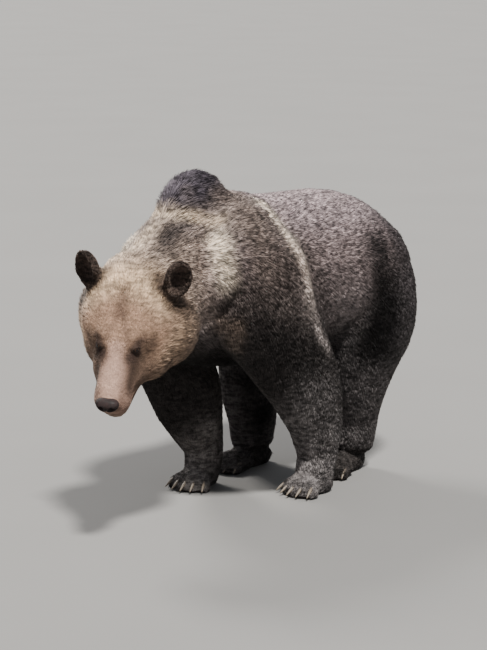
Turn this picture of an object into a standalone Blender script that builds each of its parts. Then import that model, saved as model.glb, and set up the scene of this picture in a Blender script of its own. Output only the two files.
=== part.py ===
"""Brown bear in mid-stride with its head lowered: a life-size still model in solids.

Units are metres, +Z is up, the bear faces -Y and its left side is +X.
The flesh is modelled whole from lofts and ellipsoids, fused, smoothed, and then parted
with thin cuts into head, jaw, neck, trunk and leg pieces. The outline is that of the coat.
"""

import math
from collections import namedtuple

import bmesh
import bpy
from mathutils import Euler, Matrix, Vector

# Driving dimensions
GAP = 0.0004            # clearance between neighbouring pieces
VOXEL = 0.0055          # cell of the fused flesh
FLESH_TRIANGLES = 2500  # what the fused flesh is thinned to
SOLE_DEPTH = 0.004      # the pads are pressed this far flat against the floor
ANKLE_HEIGHT = 0.085    # where each paw is parted from its leg
LEG_MARGIN = 0.026      # how far the cut round a leg stands off the leg's own loft
# The fused forms are smoothed most on the body, less on the head and hardly on the paws
HEAD_REACH = 0.17       # radius of the head, round its pivot
PAW_REACH = 0.09        # height of the paws
BLEND = 0.11            # width of the change from one to the other
SMOOTHING = (("broad", 160), ("head", 26), ("", 6))
CREASE = math.radians(40)

# The head: where its pivot (mid skull) sits, and how far it is turned, lowered and tilted
HEAD_AT = Vector((0.069, -0.710, 0.675))
HEAD_TURN = math.radians(24)
HEAD_DROP = math.radians(43.4)
HEAD_TILT = math.radians(6.5)
HEAD_POSE = (
    Matrix.Translation(HEAD_AT)
    @ Matrix.Rotation(HEAD_TURN, 4, "Z")
    @ Matrix.Rotation(HEAD_DROP, 4, "X")
    @ Matrix.Rotation(HEAD_TILT, 4, "Y")
)
EYE_RADIUS = 0.0115
EYE_AT = Vector((0.0515, -0.1422, 0.0330))
EAR_AT = {1: Vector((0.144, 0.060, 0.112)), -1: Vector((0.126, 0.059, 0.114))}    # left and right
EAR_RADII = Vector((0.045, 0.036, 0.068))
EAR_TURN = (-12, 16, 24)    # degrees: leant forward, splayed and turned out
EAR_CUP = 0.95              # how deep the ear's front is pressed in, of half its thickness
EAR_CUP_REACH = 0.75        # and how far out it runs, squared, of the ear's radius
EAR_CUP_HEIGHT = 0.1        # and how far above the ear's middle it is centred
NOSE_AT = Vector((0, -0.312, -0.014))
NOSE_RADII = Vector((0.034, 0.020, 0.021))
# Where the head is parted from the neck, in the head's own axes: over the nape and the throat
NAPE = Vector((0, 0.10, 0.12))
THROAT = Vector((0, -0.02, -0.16))
# Where the neck is parted from the trunk: over the withers and the breast
WITHERS = Vector((0, -0.46, 0.90))
BREAST = Vector((0, -0.52, 0.55))

# A ring of a loft: its centre, its half width across the body and its half height or depth
Ring = namedtuple("Ring", "x y z across along")

TRUNK = [
    Ring(0, -0.52, 0.690, 0.130, 0.150),
    Ring(0, -0.42, 0.690, 0.185, 0.215),
    Ring(0, -0.28, 0.685, 0.225, 0.250),
    Ring(0, -0.12, 0.684, 0.232, 0.271),
    Ring(0, 0.05, 0.676, 0.250, 0.271),
    Ring(0, 0.20, 0.674, 0.274, 0.267),
    Ring(0, 0.33, 0.674, 0.282, 0.259),
    Ring(0, 0.45, 0.668, 0.260, 0.230),
    Ring(0, 0.54, 0.672, 0.205, 0.172),
]
NECK = [
    Ring(0.000, -0.30, 0.785, 0.160, 0.210),
    Ring(0.018, -0.42, 0.755, 0.152, 0.192),
    Ring(0.044, -0.54, 0.715, 0.140, 0.170),
    Ring(0.058, -0.64, 0.685, 0.136, 0.152),
]
# Each leg runs from inside the trunk down to its ankle or wrist
FORELEGS = {
    "left": [
        Ring(0.105, -0.24, 0.905, 0.072, 0.140),
        Ring(0.172, -0.25, 0.780, 0.084, 0.225),
        Ring(0.193, -0.22, 0.650, 0.093, 0.212),
        Ring(0.203, -0.14, 0.520, 0.092, 0.180),
        Ring(0.208, -0.05, 0.400, 0.088, 0.156),
        Ring(0.208, 0.008, 0.300, 0.085, 0.136),
        Ring(0.206, 0.040, 0.200, 0.074, 0.106),
        Ring(0.204, 0.046, 0.120, 0.064, 0.080),
        Ring(0.204, 0.032, 0.060, 0.062, 0.070),
    ],
    "right": [
        Ring(-0.100, -0.20, 0.895, 0.066, 0.120),
        Ring(-0.164, -0.24, 0.770, 0.080, 0.190),
        Ring(-0.186, -0.295, 0.645, 0.091, 0.198),
        Ring(-0.175, -0.265, 0.520, 0.092, 0.172),
        Ring(-0.150, -0.227, 0.400, 0.094, 0.152),
        Ring(-0.137, -0.190, 0.300, 0.093, 0.139),
        Ring(-0.132, -0.154, 0.210, 0.080, 0.108),
        Ring(-0.126, -0.129, 0.130, 0.064, 0.076),
        Ring(-0.124, -0.132, 0.060, 0.059, 0.064),
    ],
}
HINDLEGS = {
    "left": [
        Ring(0.128, 0.39, 0.740, 0.108, 0.170),
        Ring(0.158, 0.39, 0.640, 0.124, 0.200),
        Ring(0.176, 0.385, 0.510, 0.119, 0.203),
        Ring(0.172, 0.352, 0.390, 0.102, 0.160),
        Ring(0.157, 0.342, 0.270, 0.082, 0.117),
        Ring(0.142, 0.352, 0.170, 0.068, 0.090),
        Ring(0.137, 0.342, 0.090, 0.062, 0.080),
    ],
    "right": [
        Ring(-0.128, 0.38, 0.740, 0.108, 0.170),
        Ring(-0.158, 0.338, 0.640, 0.124, 0.200),
        Ring(-0.172, 0.272, 0.510, 0.116, 0.194),
        Ring(-0.174, 0.200, 0.390, 0.100, 0.150),
        Ring(-0.172, 0.176, 0.270, 0.086, 0.127),
        Ring(-0.166, 0.182, 0.170, 0.074, 0.106),
        Ring(-0.162, 0.176, 0.090, 0.066, 0.086),
    ],
}
# The skull, muzzle and lower jaw, in the head's own axes: -Y to the nose, +Z to the crown
SKULL = [
    Ring(0, 0.125, -0.008, 0.120, 0.112),
    Ring(0, 0.060, -0.004, 0.142, 0.132),
    Ring(0, 0.000, -0.004, 0.144, 0.126),
    Ring(0, -0.055, -0.008, 0.134, 0.110),
    Ring(0, -0.100, -0.009, 0.104, 0.091),
    Ring(0, -0.140, -0.021, 0.076, 0.071),
    Ring(0, -0.190, -0.028, 0.061, 0.057),
    Ring(0, -0.245, -0.027, 0.055, 0.049),
    Ring(0, -0.298, -0.034, 0.044, 0.040),
]
JAW = [
    Ring(0, 0.000, -0.108, 0.100, 0.056),
    Ring(0, -0.090, -0.108, 0.082, 0.048),
    Ring(0, -0.165, -0.107, 0.062, 0.044),
    Ring(0, -0.272, -0.112, 0.045, 0.038),
]

# The lower jaw's wedge in the head's axes: how far it runs, and how high the mouth lies
JAW_FRONT = -0.40
JAW_BACK = -0.09
JAW_TOP_BACK = -0.04
JAW_UNDER = -0.30
JAW_WIDTH = 0.22
MOUTH_FRONT = -0.074
MOUTH_BACK = -0.098
TAIL = [
    Ring(0, 0.560, 0.775, 0.040, 0.034),
    Ring(0, 0.615, 0.730, 0.038, 0.034),
    Ring(0, 0.640, 0.665, 0.026, 0.024),
]

# Paws: where each sole's middle stands, how far it is turned out, and its sizes
Paw = namedtuple("Paw", "x y turn length width claw")
PAWS = {
    "forepaw_left": Paw(0.205, 0.005, math.radians(-8), 0.170, 0.150, 0.048),
    "forepaw_right": Paw(-0.126, -0.160, math.radians(8), 0.170, 0.150, 0.048),
    "hindpaw_left": Paw(0.137, 0.280, math.radians(6), 0.250, 0.140, 0.036),
    "hindpaw_right": Paw(-0.162, 0.132, math.radians(-6), 0.250, 0.140, 0.036),
}
TOES = 5


def clear_scene():
    for obj in list(bpy.data.objects):
        bpy.data.objects.remove(obj, do_unlink=True)


def new_collection(name, in_render=True):
    collection = bpy.data.collections.new(name)
    bpy.context.scene.collection.children.link(collection)
    collection.hide_render = not in_render
    return collection


def finish(name, colour, roughness):
    """A material with one Principled BSDF."""
    material = bpy.data.materials.new(name)
    material.use_nodes = True
    shader = material.node_tree.nodes["Principled BSDF"]
    shader.inputs["Base Color"].default_value = (*colour, 1.0)
    shader.inputs["Roughness"].default_value = roughness
    shader.inputs["Metallic"].default_value = 0.0
    return material


def new_object(name, mesh, collection):
    obj = bpy.data.objects.new(name, mesh)
    collection.objects.link(obj)
    return obj


def mesh_from(bm, name):
    mesh = bpy.data.meshes.new(name)
    bm.to_mesh(mesh)
    bm.free()
    return mesh


def between(rings, steps):
    """The rings and the ones between them, on a Catmull-Rom curve through all their values."""
    found = []
    for i in range(len(rings) - 1):
        before, start = rings[max(i - 1, 0)], rings[i]
        end, after = rings[i + 1], rings[min(i + 2, len(rings) - 1)]
        for step in range(steps):
            t = step / steps
            found.append(Ring(*(
                0.5 * (2 * b + (c - a) * t + (2 * a - 5 * b + 4 * c - d) * t**2
                       + (3 * b - a - 3 * c + d) * t**3)
                for a, b, c, d in zip(before, start, end, after)
            )))
    return found + [rings[-1]]


def loft(rings, steps=4, segments=28, dome=0.6, rounds=(25, 50, 80)):
    """A closed tube of elliptical rings set square to their path, with a dome at each end."""
    path = between(rings, steps)
    bm = bmesh.new()
    loops = []
    for i, ring in enumerate(path):
        before, after = path[max(i - 1, 0)], path[min(i + 1, len(path) - 1)]
        along = (Vector(after[:3]) - Vector(before[:3])).normalized()
        across = (Vector((1, 0, 0)) - along * along.x).normalized()
        upward = across.cross(along)
        ends = []
        if i == 0:
            ends = [(math.radians(a), -1) for a in reversed(rounds)]
        elif i == len(path) - 1:
            ends = [(math.radians(a), 1) for a in rounds]
        stations = ([(0, 1)] if i == len(path) - 1 else []) + ends + ([(0, 1)] if i == 0 else [])
        for angle, way in stations or [(0, 1)]:
            depth = way * math.sin(angle) * dome * min(ring.across, ring.along)
            centre = Vector(ring[:3]) + along * depth
            size = math.cos(angle)
            loops.append([
                bm.verts.new(centre + size * (
                    across * ring.across * math.cos(turn) + upward * ring.along * math.sin(turn)
                ))
                for turn in (math.tau * k / segments for k in range(segments))
            ])
    for lower, upper in zip(loops, loops[1:]):
        for k in range(segments):
            bm.faces.new((lower[k], lower[k - 1], upper[k - 1], upper[k]))
    bm.faces.new(loops[0])
    bm.faces.new(reversed(loops[-1]))
    bmesh.ops.triangulate(bm, faces=bm.faces)
    bmesh.ops.recalc_face_normals(bm, faces=bm.faces)
    return mesh_from(bm, "loft")


def ellipsoid(centre, radii, turn=(0, 0, 0), fineness=24):
    """A closed ellipsoid, turned by XYZ angles in degrees."""
    place = (
        Matrix.Translation(centre)
        @ Euler([math.radians(a) for a in turn]).to_matrix().to_4x4()
        @ Matrix.Diagonal((*radii, 1.0))
    )
    bm = bmesh.new()
    bmesh.ops.create_uvsphere(bm, u_segments=fineness, v_segments=fineness // 2, radius=1.0)
    bmesh.ops.transform(bm, matrix=place, verts=bm.verts)
    bmesh.ops.triangulate(bm, faces=bm.faces)
    return mesh_from(bm, "ellipsoid")


def mirrored(centre, radii, turn=(0, 0, 0), fineness=24):
    """The ellipsoid on the left side and its twin on the right."""
    x, y, z = centre
    a, b, c = turn
    return [
        ellipsoid(centre, radii, turn, fineness),
        ellipsoid((-x, y, z), radii, (a, -b, -c), fineness),
    ]


def joined(meshes, matrix=Matrix()):
    """One mesh holding all of these, placed by the matrix."""
    bm = bmesh.new()
    for mesh in meshes:
        bm.from_mesh(mesh)
        bpy.data.meshes.remove(mesh)
    bmesh.ops.transform(bm, matrix=matrix, verts=bm.verts)
    return mesh_from(bm, "joined")


def evaluated(obj):
    """The object's mesh with its modifiers applied, in the object's place."""
    bpy.context.view_layer.update()
    graph = bpy.context.evaluated_depsgraph_get()
    mesh = bpy.data.meshes.new_from_object(obj.evaluated_get(graph))
    mesh.transform(obj.matrix_world)
    return mesh


def bake(obj):
    """Replaces the object's mesh by its evaluated one and drops its modifiers."""
    old = obj.data
    obj.data = evaluated(obj)
    obj.modifiers.clear()
    obj.matrix_world = Matrix()
    bpy.data.meshes.remove(old)
    return obj


def boolean(obj, tool, operation):
    modifier = obj.modifiers.new(operation.title(), "BOOLEAN")
    modifier.operation = operation
    modifier.solver = "EXACT"
    modifier.object = tool
    return bake(obj)


def grown(mesh, by, collection):
    """A cutter: the shape with every face moved outwards by about the given distance."""
    cutter = new_object("grown", mesh.copy(), collection)
    cutter.hide_render = True
    cutter.display_type = "WIRE"
    if by:
        modifier = cutter.modifiers.new("Grow", "DISPLACE")
        modifier.strength = by
        modifier.mid_level = 0.0
        bake(cutter)
    return cutter


def fit_round(obj, pieces, cutters):
    """Hollows the object so that each of these separate pieces sits in it with a gap."""
    for piece in pieces:
        boolean(obj, grown(evaluated(piece), GAP, cutters), "DIFFERENCE")


def part_by_shape(obj, shape, name, cutters):
    """Parts what lies within the closed shape from the object, into one of its own."""
    inner = new_object(name, obj.data.copy(), obj.users_collection[0])
    boolean(inner, grown(shape, 0, cutters), "INTERSECT")
    boolean(obj, grown(shape, GAP, cutters), "DIFFERENCE")
    return inner


def trimmed(mesh, point, normal):
    """The mesh's half on the normal's side of a plane, closed over the cut."""
    bm = bmesh.new()
    bm.from_mesh(mesh)
    cut = bmesh.ops.bisect_plane(
        bm, geom=bm.verts[:] + bm.edges[:] + bm.faces[:],
        plane_co=point, plane_no=normal, clear_inner=True,
    )
    edges = [e for e in cut["geom_cut"] if isinstance(e, bmesh.types.BMEdge)]
    bmesh.ops.holes_fill(bm, edges=edges)
    bmesh.ops.triangulate(bm, faces=[f for f in bm.faces if len(f.verts) > 3])
    return mesh_from(bm, mesh.name)


def part_by_plane(obj, point, normal, name):
    """Parts what lies on the normal's side of a plane from the object, into one of its own."""
    away = normal.normalized()
    beyond = new_object(name, trimmed(obj.data, point + away * GAP / 2, away), obj.users_collection[0])
    obj.data = trimmed(obj.data, point - away * GAP / 2, -away)
    return beyond


def head_forms():
    forms = [loft(SKULL), loft(JAW)]
    # cheek ruffs and chewing muscles; those on the left stand out, as the neck bends that way
    forms.append(ellipsoid((0.098, 0.018, -0.078), (0.103, 0.124, 0.124), (0, 0, -12)))
    forms.append(ellipsoid((-0.090, 0.030, -0.058), (0.075, 0.115, 0.115), (0, 0, 12)))
    forms.append(ellipsoid((0.078, -0.052, -0.078), (0.076, 0.130, 0.088), (0, 0, -22)))
    forms.append(ellipsoid((-0.070, -0.048, -0.066), (0.066, 0.125, 0.082), (0, 0, 22)))
    forms += mirrored((0.036, -0.145, -0.050), (0.050, 0.100, 0.062), (0, 0, -12))    # muzzle root
    forms += mirrored((0.044, -0.085, 0.046), (0.046, 0.054, 0.032), (24, 24, 0))     # brow
    forms += mirrored((0.027, -0.264, -0.054), (0.032, 0.054, 0.038))                 # lip pads
    forms.append(ellipsoid((0, -0.018, 0.068), (0.092, 0.084, 0.050)))                # forehead
    return joined(forms, HEAD_POSE)


def paw_place(paw):
    return Matrix.Translation((paw.x, paw.y, 0)) @ Matrix.Rotation(paw.turn, 4, "Z")


def toe_place(paw, side):
    """The frame of one toe on the floor, with -Y along it; side runs from -1 to 1 over the paw."""
    knuckle = toe_width(paw)
    reach = 0.020 + 0.022 * side**2 - paw.length / 2
    return (
        paw_place(paw)
        @ Matrix.Translation((side * (paw.width / 2 - knuckle), reach, 0))
        @ Matrix.Rotation(math.radians(14 * side), 4, "Z")
    )


def toe_width(paw):
    return 1.15 * paw.width / 2 / TOES


def paw_forms(paw):
    """Palm, heel and toes of one paw, standing on the floor."""
    wide = paw.width / 2
    heel_width = (0.62 if paw.length > 0.2 else 0.74) * wide
    pads = [
        ellipsoid((0, -0.20 * paw.length, 0.026), (0.90 * wide, 0.26 * paw.length, 0.042)),
        ellipsoid((0, 0.16 * paw.length, 0.030), (heel_width, 0.36 * paw.length, 0.046)),
    ]
    forms = [joined(pads, paw_place(paw))]
    for toe in range(TOES):
        side = toe / (TOES - 1) * 2 - 1
        form = ellipsoid((0, 0, 0.021 - SOLE_DEPTH), (toe_width(paw), 0.032, 0.026))
        forms.append(joined([form], toe_place(paw, side)))
    return joined(forms)


def jaw_block():
    """A wedge round the lower jaw, whose top runs along the mouth."""
    bm = bmesh.new()
    bmesh.ops.create_cube(bm, size=1.0)
    for corner in bm.verts:
        front, top = corner.co.y < 0, corner.co.z > 0
        back = JAW_TOP_BACK if top else JAW_BACK
        lip = MOUTH_FRONT if front else MOUTH_BACK
        corner.co.x *= JAW_WIDTH
        corner.co.y = JAW_FRONT if front else back
        corner.co.z = lip if top else JAW_UNDER
    bmesh.ops.transform(bm, matrix=HEAD_POSE, verts=bm.verts)
    bmesh.ops.triangulate(bm, faces=bm.faces)
    return mesh_from(bm, "jaw block")


def body_forms():
    forms = [loft(TRUNK), loft(NECK), head_forms()]
    forms.append(ellipsoid((0, -0.328, 0.924), (0.086, 0.152, 0.140)))                # hump
    forms.append(ellipsoid((0, -0.215, 0.845), (0.168, 0.272, 0.140)))                # its foot
    forms += mirrored((0.088, -0.235, 0.830), (0.082, 0.185, 0.130), (0, 24, 0))       # shoulder blades
    forms += mirrored((0.130, 0.40, 0.655), (0.146, 0.190, 0.195))                    # rump
    for leg in (FORELEGS, HINDLEGS):
        forms += [loft(rings) for rings in leg.values()]
    forms += [paw_forms(paw) for paw in PAWS.values()]
    return forms


def fused_flesh(collection):
    """The whole body as one smooth closed mesh, flat under the soles."""
    body = new_object("trunk", joined(body_forms()), collection)
    remesh = body.modifiers.new("Fuse", "REMESH")
    remesh.mode = "VOXEL"
    remesh.voxel_size = VOXEL
    bake(body)
    broad = body.vertex_groups.new(name="broad")
    head = body.vertex_groups.new(name="head")
    for vertex in body.data.vertices:
        off_head = min(max(((vertex.co - HEAD_AT).length - HEAD_REACH) / BLEND, 0), 1)
        off_paws = min(max((vertex.co.z - PAW_REACH) / BLEND, 0), 1)
        broad.add([vertex.index], off_head * off_paws, "REPLACE")
        head.add([vertex.index], (1 - off_head) * off_paws, "REPLACE")
    for group, rounds in SMOOTHING:
        smooth = body.modifiers.new("Smooth", "SMOOTH")
        smooth.factor = 0.5
        smooth.iterations = rounds
        smooth.vertex_group = group
    thin = body.modifiers.new("Thin", "DECIMATE")
    thin.ratio = FLESH_TRIANGLES / (2 * len(body.data.polygons))
    bake(body)
    body.vertex_groups.clear()
    body.data = trimmed(body.data, Vector((0, 0, 0)), Vector((0, 0, 1)))
    return body


def part_paws(body):
    """The four paws, each parted from its leg at the wrist or ankle."""
    whole = part_by_plane(body, Vector((0, 0, ANKLE_HEIGHT)), Vector((0, 0, -1)), "paws")
    paws = {}
    for name, paw in PAWS.items():
        others = [p for p in PAWS.values() if p is not paw]
        bm = bmesh.new()
        bm.from_mesh(whole.data)
        strangers = [
            v for v in bm.verts
            if any(math.dist(v.co[:2], p[:2]) < math.dist(v.co[:2], paw[:2]) for p in others)
        ]
        bmesh.ops.delete(bm, geom=strangers, context="VERTS")
        paws[name] = new_object(name, mesh_from(bm, name), body.users_collection[0])
    bpy.data.objects.remove(whole)
    return paws


def part_legs(body, cutters):
    """Each leg in two lengths, with its upper end seated in a hollow of the trunk."""
    pieces = []
    for legs, prefix, upper, lower, joint in (
        (FORELEGS, "foreleg", "upper", "lower", 4),
        (HINDLEGS, "hindleg", "thigh", "shank", 3),
    ):
        for side, rings in legs.items():
            wide = [r._replace(across=r.across + LEG_MARGIN, along=r.along + LEG_MARGIN) for r in rings[1:]]
            end = wide[-1]
            wide.append(end._replace(z=end.z - ANKLE_HEIGHT))
            leg = part_by_shape(
                body, loft(wide, steps=1, segments=10, rounds=(45,)), f"{prefix}_{side}_{upper}", cutters,
            )
            down = Vector(rings[joint + 1][:3]) - Vector(rings[joint - 1][:3])
            shin = part_by_plane(leg, Vector(rings[joint][:3]), down, f"{prefix}_{side}_{lower}")
            pieces += [leg, shin]
    return pieces


def ear(name, side, collection):
    """A rounded ear, cupped towards the front, with its root in the head."""
    bm = bmesh.new()
    bmesh.ops.create_uvsphere(bm, u_segments=12, v_segments=8, radius=1.0)
    for vertex in bm.verts:
        across, depth, height = vertex.co
        if depth < 0:
            off_middle = across**2 + (height - EAR_CUP_HEIGHT) ** 2
            vertex.co.y += EAR_CUP * max(0, 1 - off_middle / EAR_CUP_REACH)
    bmesh.ops.scale(bm, vec=EAR_RADII, verts=bm.verts)
    bmesh.ops.triangulate(bm, faces=bm.faces)
    obj = new_object(name, mesh_from(bm, name), collection)
    lean, splay, turn = (math.radians(a) for a in EAR_TURN)
    at = EAR_AT[side]
    place = Matrix.Translation((side * at.x, at.y, at.z))
    obj.matrix_world = HEAD_POSE @ place @ Euler((lean, side * splay, side * turn)).to_matrix().to_4x4()
    return obj


def claw(name, paw, toe, collection):
    """A curved, tapering claw that grows out of one toe and ends just off the floor."""
    side = toe / (TOES - 1) * 2 - 1
    reach = paw.claw
    rings = [
        Ring(0, 0.014, 0.028, 0.0078, 0.0095),
        Ring(0, -0.45 * reach, 0.0275, 0.0070, 0.0088),
        Ring(0, -1.00 * reach, 0.0072, 0.0028, 0.0034),
    ]
    obj = new_object(name, loft(rings, steps=1, segments=5, rounds=(60,)), collection)
    obj.matrix_world = toe_place(paw, side)
    return obj


def stand_on_origin(collection):
    """Hangs every piece from one empty, set so that the origin is under the middle of the bear."""
    bpy.context.view_layer.update()
    corners = [obj.matrix_world @ v.co for obj in collection.objects for v in obj.data.vertices]
    middle = [(min(c[i] for c in corners) + max(c[i] for c in corners)) / 2 for i in (0, 1)]
    root = new_object("bear_root", None, collection)
    for obj in collection.objects:
        if obj is not root:
            obj.parent = root
    root.location = (-middle[0], -middle[1], 0)


def main():
    clear_scene()
    bear = new_collection("brown_bear")
    cutters = new_collection("cutters", in_render=False)

    trunk = fused_flesh(bear)
    paws = part_paws(trunk)
    rise = NAPE - THROAT
    forward = HEAD_POSE.to_3x3() @ Vector((0, -rise.z, rise.y))
    head = part_by_plane(trunk, HEAD_POSE @ NAPE, forward, "head")
    slope = WITHERS - BREAST
    neck = part_by_plane(trunk, WITHERS, Vector((0, -slope.z, slope.y)), "neck")
    legs = part_legs(trunk, cutters)

    coat = finish("coat", (0.16, 0.11, 0.08), 0.8)
    dark_coat = finish("dark_coat", (0.045, 0.030, 0.024), 0.85)
    face_coat = finish("face_coat", (0.28, 0.20, 0.15), 0.8)
    skin = finish("nose_skin", (0.020, 0.017, 0.018), 0.45)
    eye_glass = finish("eye", (0.015, 0.008, 0.005), 0.08)
    horn = finish("claw_horn", (0.22, 0.17, 0.12), 0.4)

    tail = new_object("tail", loft(TAIL, steps=2, segments=10, rounds=(50,)), bear)
    fit_round(trunk, [tail], cutters)

    jaw = part_by_shape(head, jaw_block(), "lower_jaw", cutters)
    nose = new_object("nose", ellipsoid((0, 0, 0), NOSE_RADII, fineness=12), bear)
    nose.matrix_world = HEAD_POSE @ Matrix.Translation(NOSE_AT)
    eyes, ears = [], []
    for name, side in (("left", 1), ("right", -1)):
        eye = new_object(f"eye_{name}", ellipsoid((0, 0, 0), (EYE_RADIUS,) * 3, fineness=10), bear)
        eye.matrix_world = HEAD_POSE @ Matrix.Translation((side * EYE_AT.x, EYE_AT.y, EYE_AT.z))
        eyes.append(eye)
        ears.append(ear(f"ear_{name}", side, bear))
    fit_round(head, [nose, *eyes, *ears], cutters)

    claws = []
    for name, paw in PAWS.items():
        on_paw = [claw(f"claw_{name}_{toe + 1}", paw, toe, bear) for toe in range(TOES)]
        fit_round(paws[name], on_paw, cutters)
        claws += on_paw

    for material, pieces in (
        (coat, [trunk, neck, tail]),
        (dark_coat, [*legs, *paws.values(), *ears]),
        (face_coat, [head, jaw]),
        (skin, [nose]),
        (eye_glass, eyes),
        (horn, claws),
    ):
        for piece in pieces:
            piece.data.materials.clear()
            piece.data.materials.append(material)
            piece.data.shade_smooth()
            piece.data.set_sharp_from_angle(angle=CREASE)
    stand_on_origin(bear)


if __name__ == "__main__":
    main()
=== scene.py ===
"""Brown bear, a life-size still model: its skin, coat, eyes, nose, claws and stage.

One skin stands for all the flesh of the solids, sunk below them by the depth of the coat.
The coat is solid tufts that grow out of it along the lie of the hair. Units are metres,
+Z is up, the bear faces -Y and its left side is +X.
"""

import math
from collections import namedtuple

import bmesh
import bpy
import numpy as np
from bpy.props import FloatProperty, FloatVectorProperty, IntProperty, PointerProperty
from bpy.types import Operator, Panel, PropertyGroup
from mathutils import Euler, Matrix, Vector, noise
from mathutils.bvhtree import BVHTree


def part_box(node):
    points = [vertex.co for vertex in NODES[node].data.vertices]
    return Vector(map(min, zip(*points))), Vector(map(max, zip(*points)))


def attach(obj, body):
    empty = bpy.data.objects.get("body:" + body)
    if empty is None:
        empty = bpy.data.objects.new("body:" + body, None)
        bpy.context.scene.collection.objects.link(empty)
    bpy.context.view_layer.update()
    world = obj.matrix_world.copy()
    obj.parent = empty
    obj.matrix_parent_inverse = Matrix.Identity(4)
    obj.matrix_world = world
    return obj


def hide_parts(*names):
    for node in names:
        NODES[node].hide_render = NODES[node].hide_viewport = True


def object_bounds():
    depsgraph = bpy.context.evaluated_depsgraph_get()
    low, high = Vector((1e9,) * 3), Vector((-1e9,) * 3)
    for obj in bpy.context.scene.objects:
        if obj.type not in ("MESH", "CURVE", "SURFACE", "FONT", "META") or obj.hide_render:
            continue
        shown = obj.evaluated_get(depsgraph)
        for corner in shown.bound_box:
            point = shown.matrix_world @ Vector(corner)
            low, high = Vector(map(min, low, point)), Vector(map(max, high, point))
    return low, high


bl_info = {
    "name": "Brown bear model",
    "version": (1, 0, 0),
    "blender": (4, 5, 0),
    "location": "3D View > Sidebar > Bear",
    "description": "Builds the skin, coat, eyes, nose and claws of a life-size brown bear",
    "category": "Object",
}

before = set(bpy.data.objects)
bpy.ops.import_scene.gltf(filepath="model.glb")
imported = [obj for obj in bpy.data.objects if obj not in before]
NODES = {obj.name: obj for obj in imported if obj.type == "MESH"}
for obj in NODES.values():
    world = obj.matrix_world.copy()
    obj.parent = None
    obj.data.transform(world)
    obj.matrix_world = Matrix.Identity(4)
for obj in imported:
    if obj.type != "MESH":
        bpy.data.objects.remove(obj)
CAD_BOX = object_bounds()

SIDES = (("left", 1), ("right", -1))
PAWS = ("forepaw_left", "forepaw_right", "hindpaw_left", "hindpaw_right")
TOES = 5
LEGS = {"foreleg": ("upper", "lower"), "hindleg": ("thigh", "shank")}
SKULL = ("head", "lower_jaw")
FLESH = (
    *SKULL, "neck", "trunk", "tail", "ear_left", "ear_right",
    *(f"{leg}_{side}_{part}" for leg, parts in LEGS.items() for side, _ in SIDES for part in parts),
    *PAWS,
)

# Where the eyes, the nose and the ears sit in the head's own axes: -Y to the nose, +Z to the crown
EYE_SEAT = Vector((0.0515, -0.1422, 0.033))
EYE_RADIUS = 0.0115
GAZE = Vector((0.60, -0.70, 0.38)).normalized()
NOSE_SEAT = Vector((0, -0.312, -0.014))
EAR_AT = {1: Vector((0.144, 0.060, 0.112)), -1: Vector((-0.126, 0.059, 0.114))}    # left and right
EAR_RADII = Vector((0.045, 0.036, 0.068))
EAR_TURN = (-12, 16, 24)    # degrees: leant forward, splayed and turned out
# The mouth's line on the side of the muzzle, in the same axes
MOUTH_FRONT = -0.326
MOUTH_CORNER = -0.150
MOUTH_HEIGHT = -0.079
MOUTH_SLOPE = -0.067

UNWRAP = "OFBake"
PATCH = 0.003           # width of a tuft's patch on the unwrap


# ------------------------------------------------------------------ settings


def share_setting(name, description, default, most=1.0, least=0.0):
    return FloatProperty(
        name=name, description=description, default=default, min=least, max=most, subtype="FACTOR",
    )


def colour_setting(name, description, default):
    return FloatVectorProperty(
        name=name, description=description, default=default, subtype="COLOR", size=3, min=0, max=1,
    )


class BearSkinSettings(PropertyGroup):
    cell: FloatProperty(
        name="Cell", description="Cell of the skin's mesh", default=0.0098, min=0.004, max=0.02,
        unit="LENGTH", precision=4,
    )
    rounds: IntProperty(
        name="Smoothing", description="Rounds that take the solids' facets out of the skin",
        default=48, min=0, max=200,
    )
    depth: share_setting(
        "Depth", "Depth of the skin below the solids, as a share of each zone's own", 1.0, 1.5,
    )


class BearCoatSettings(PropertyGroup):
    length: share_setting(
        "Length", "Length of the tufts, as a share of each zone's own", 1.0, 2.0, 0.2,
    )
    droop: share_setting(
        "Droop", "How far a tuft bends back to the skin, as a share of its rise", 0.45,
    )
    lock: share_setting("Lock", "How far the tips draw together into locks", 0.42)
    wave: share_setting("Wave", "Sideways wave of a tuft, as a share of its length", 0.07, 0.5)
    seed: IntProperty(name="Seed", description="Seed of the tufts' places", default=7, min=0)


class BearEyeSettings(PropertyGroup):
    iris: colour_setting("Iris", "Colour of the iris", (0.026, 0.0105, 0.0045))
    pupil: FloatProperty(
        name="Pupil", description="Half angle of the pupil, seen from the eye's middle",
        default=math.radians(18), min=0, max=math.radians(40), subtype="ANGLE",
    )


class BearNoseSettings(PropertyGroup):
    colour: colour_setting("Colour", "Colour of the nose's skin", (0.0135, 0.0078, 0.0076))


class BearClawSettings(PropertyGroup):
    horn: colour_setting("Horn", "Colour of the claws near their tips", (0.165, 0.134, 0.102))
    root: colour_setting("Root", "Colour of the claws at their roots", (0.050, 0.037, 0.029))


class BearStageSettings(PropertyGroup):
    azimuth: FloatProperty(
        name="Azimuth", description="Camera's turn round the bear from its front towards its left",
        default=math.radians(38), subtype="ANGLE",
    )
    elevation: FloatProperty(
        name="Elevation", description="Camera's height angle", default=math.radians(11),
        subtype="ANGLE",
    )
    distance: FloatProperty(
        name="Distance", description="Camera's distance", default=7.0, min=1, unit="LENGTH",
    )
    lens: FloatProperty(
        name="Lens", description="Camera's focal length", default=120.6, min=10, unit="CAMERA",
    )
    target: FloatVectorProperty(
        name="Target", description="Point in the middle of the view, from the middle of the bear",
        default=(-0.044, 0.109, -0.007), subtype="TRANSLATION", size=3,
    )
    key: FloatProperty(name="Key light", description="Key light's strength", default=7.6, min=0)
    rim: FloatProperty(name="Rim light", description="Rim light's strength", default=3.0, min=0)


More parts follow.
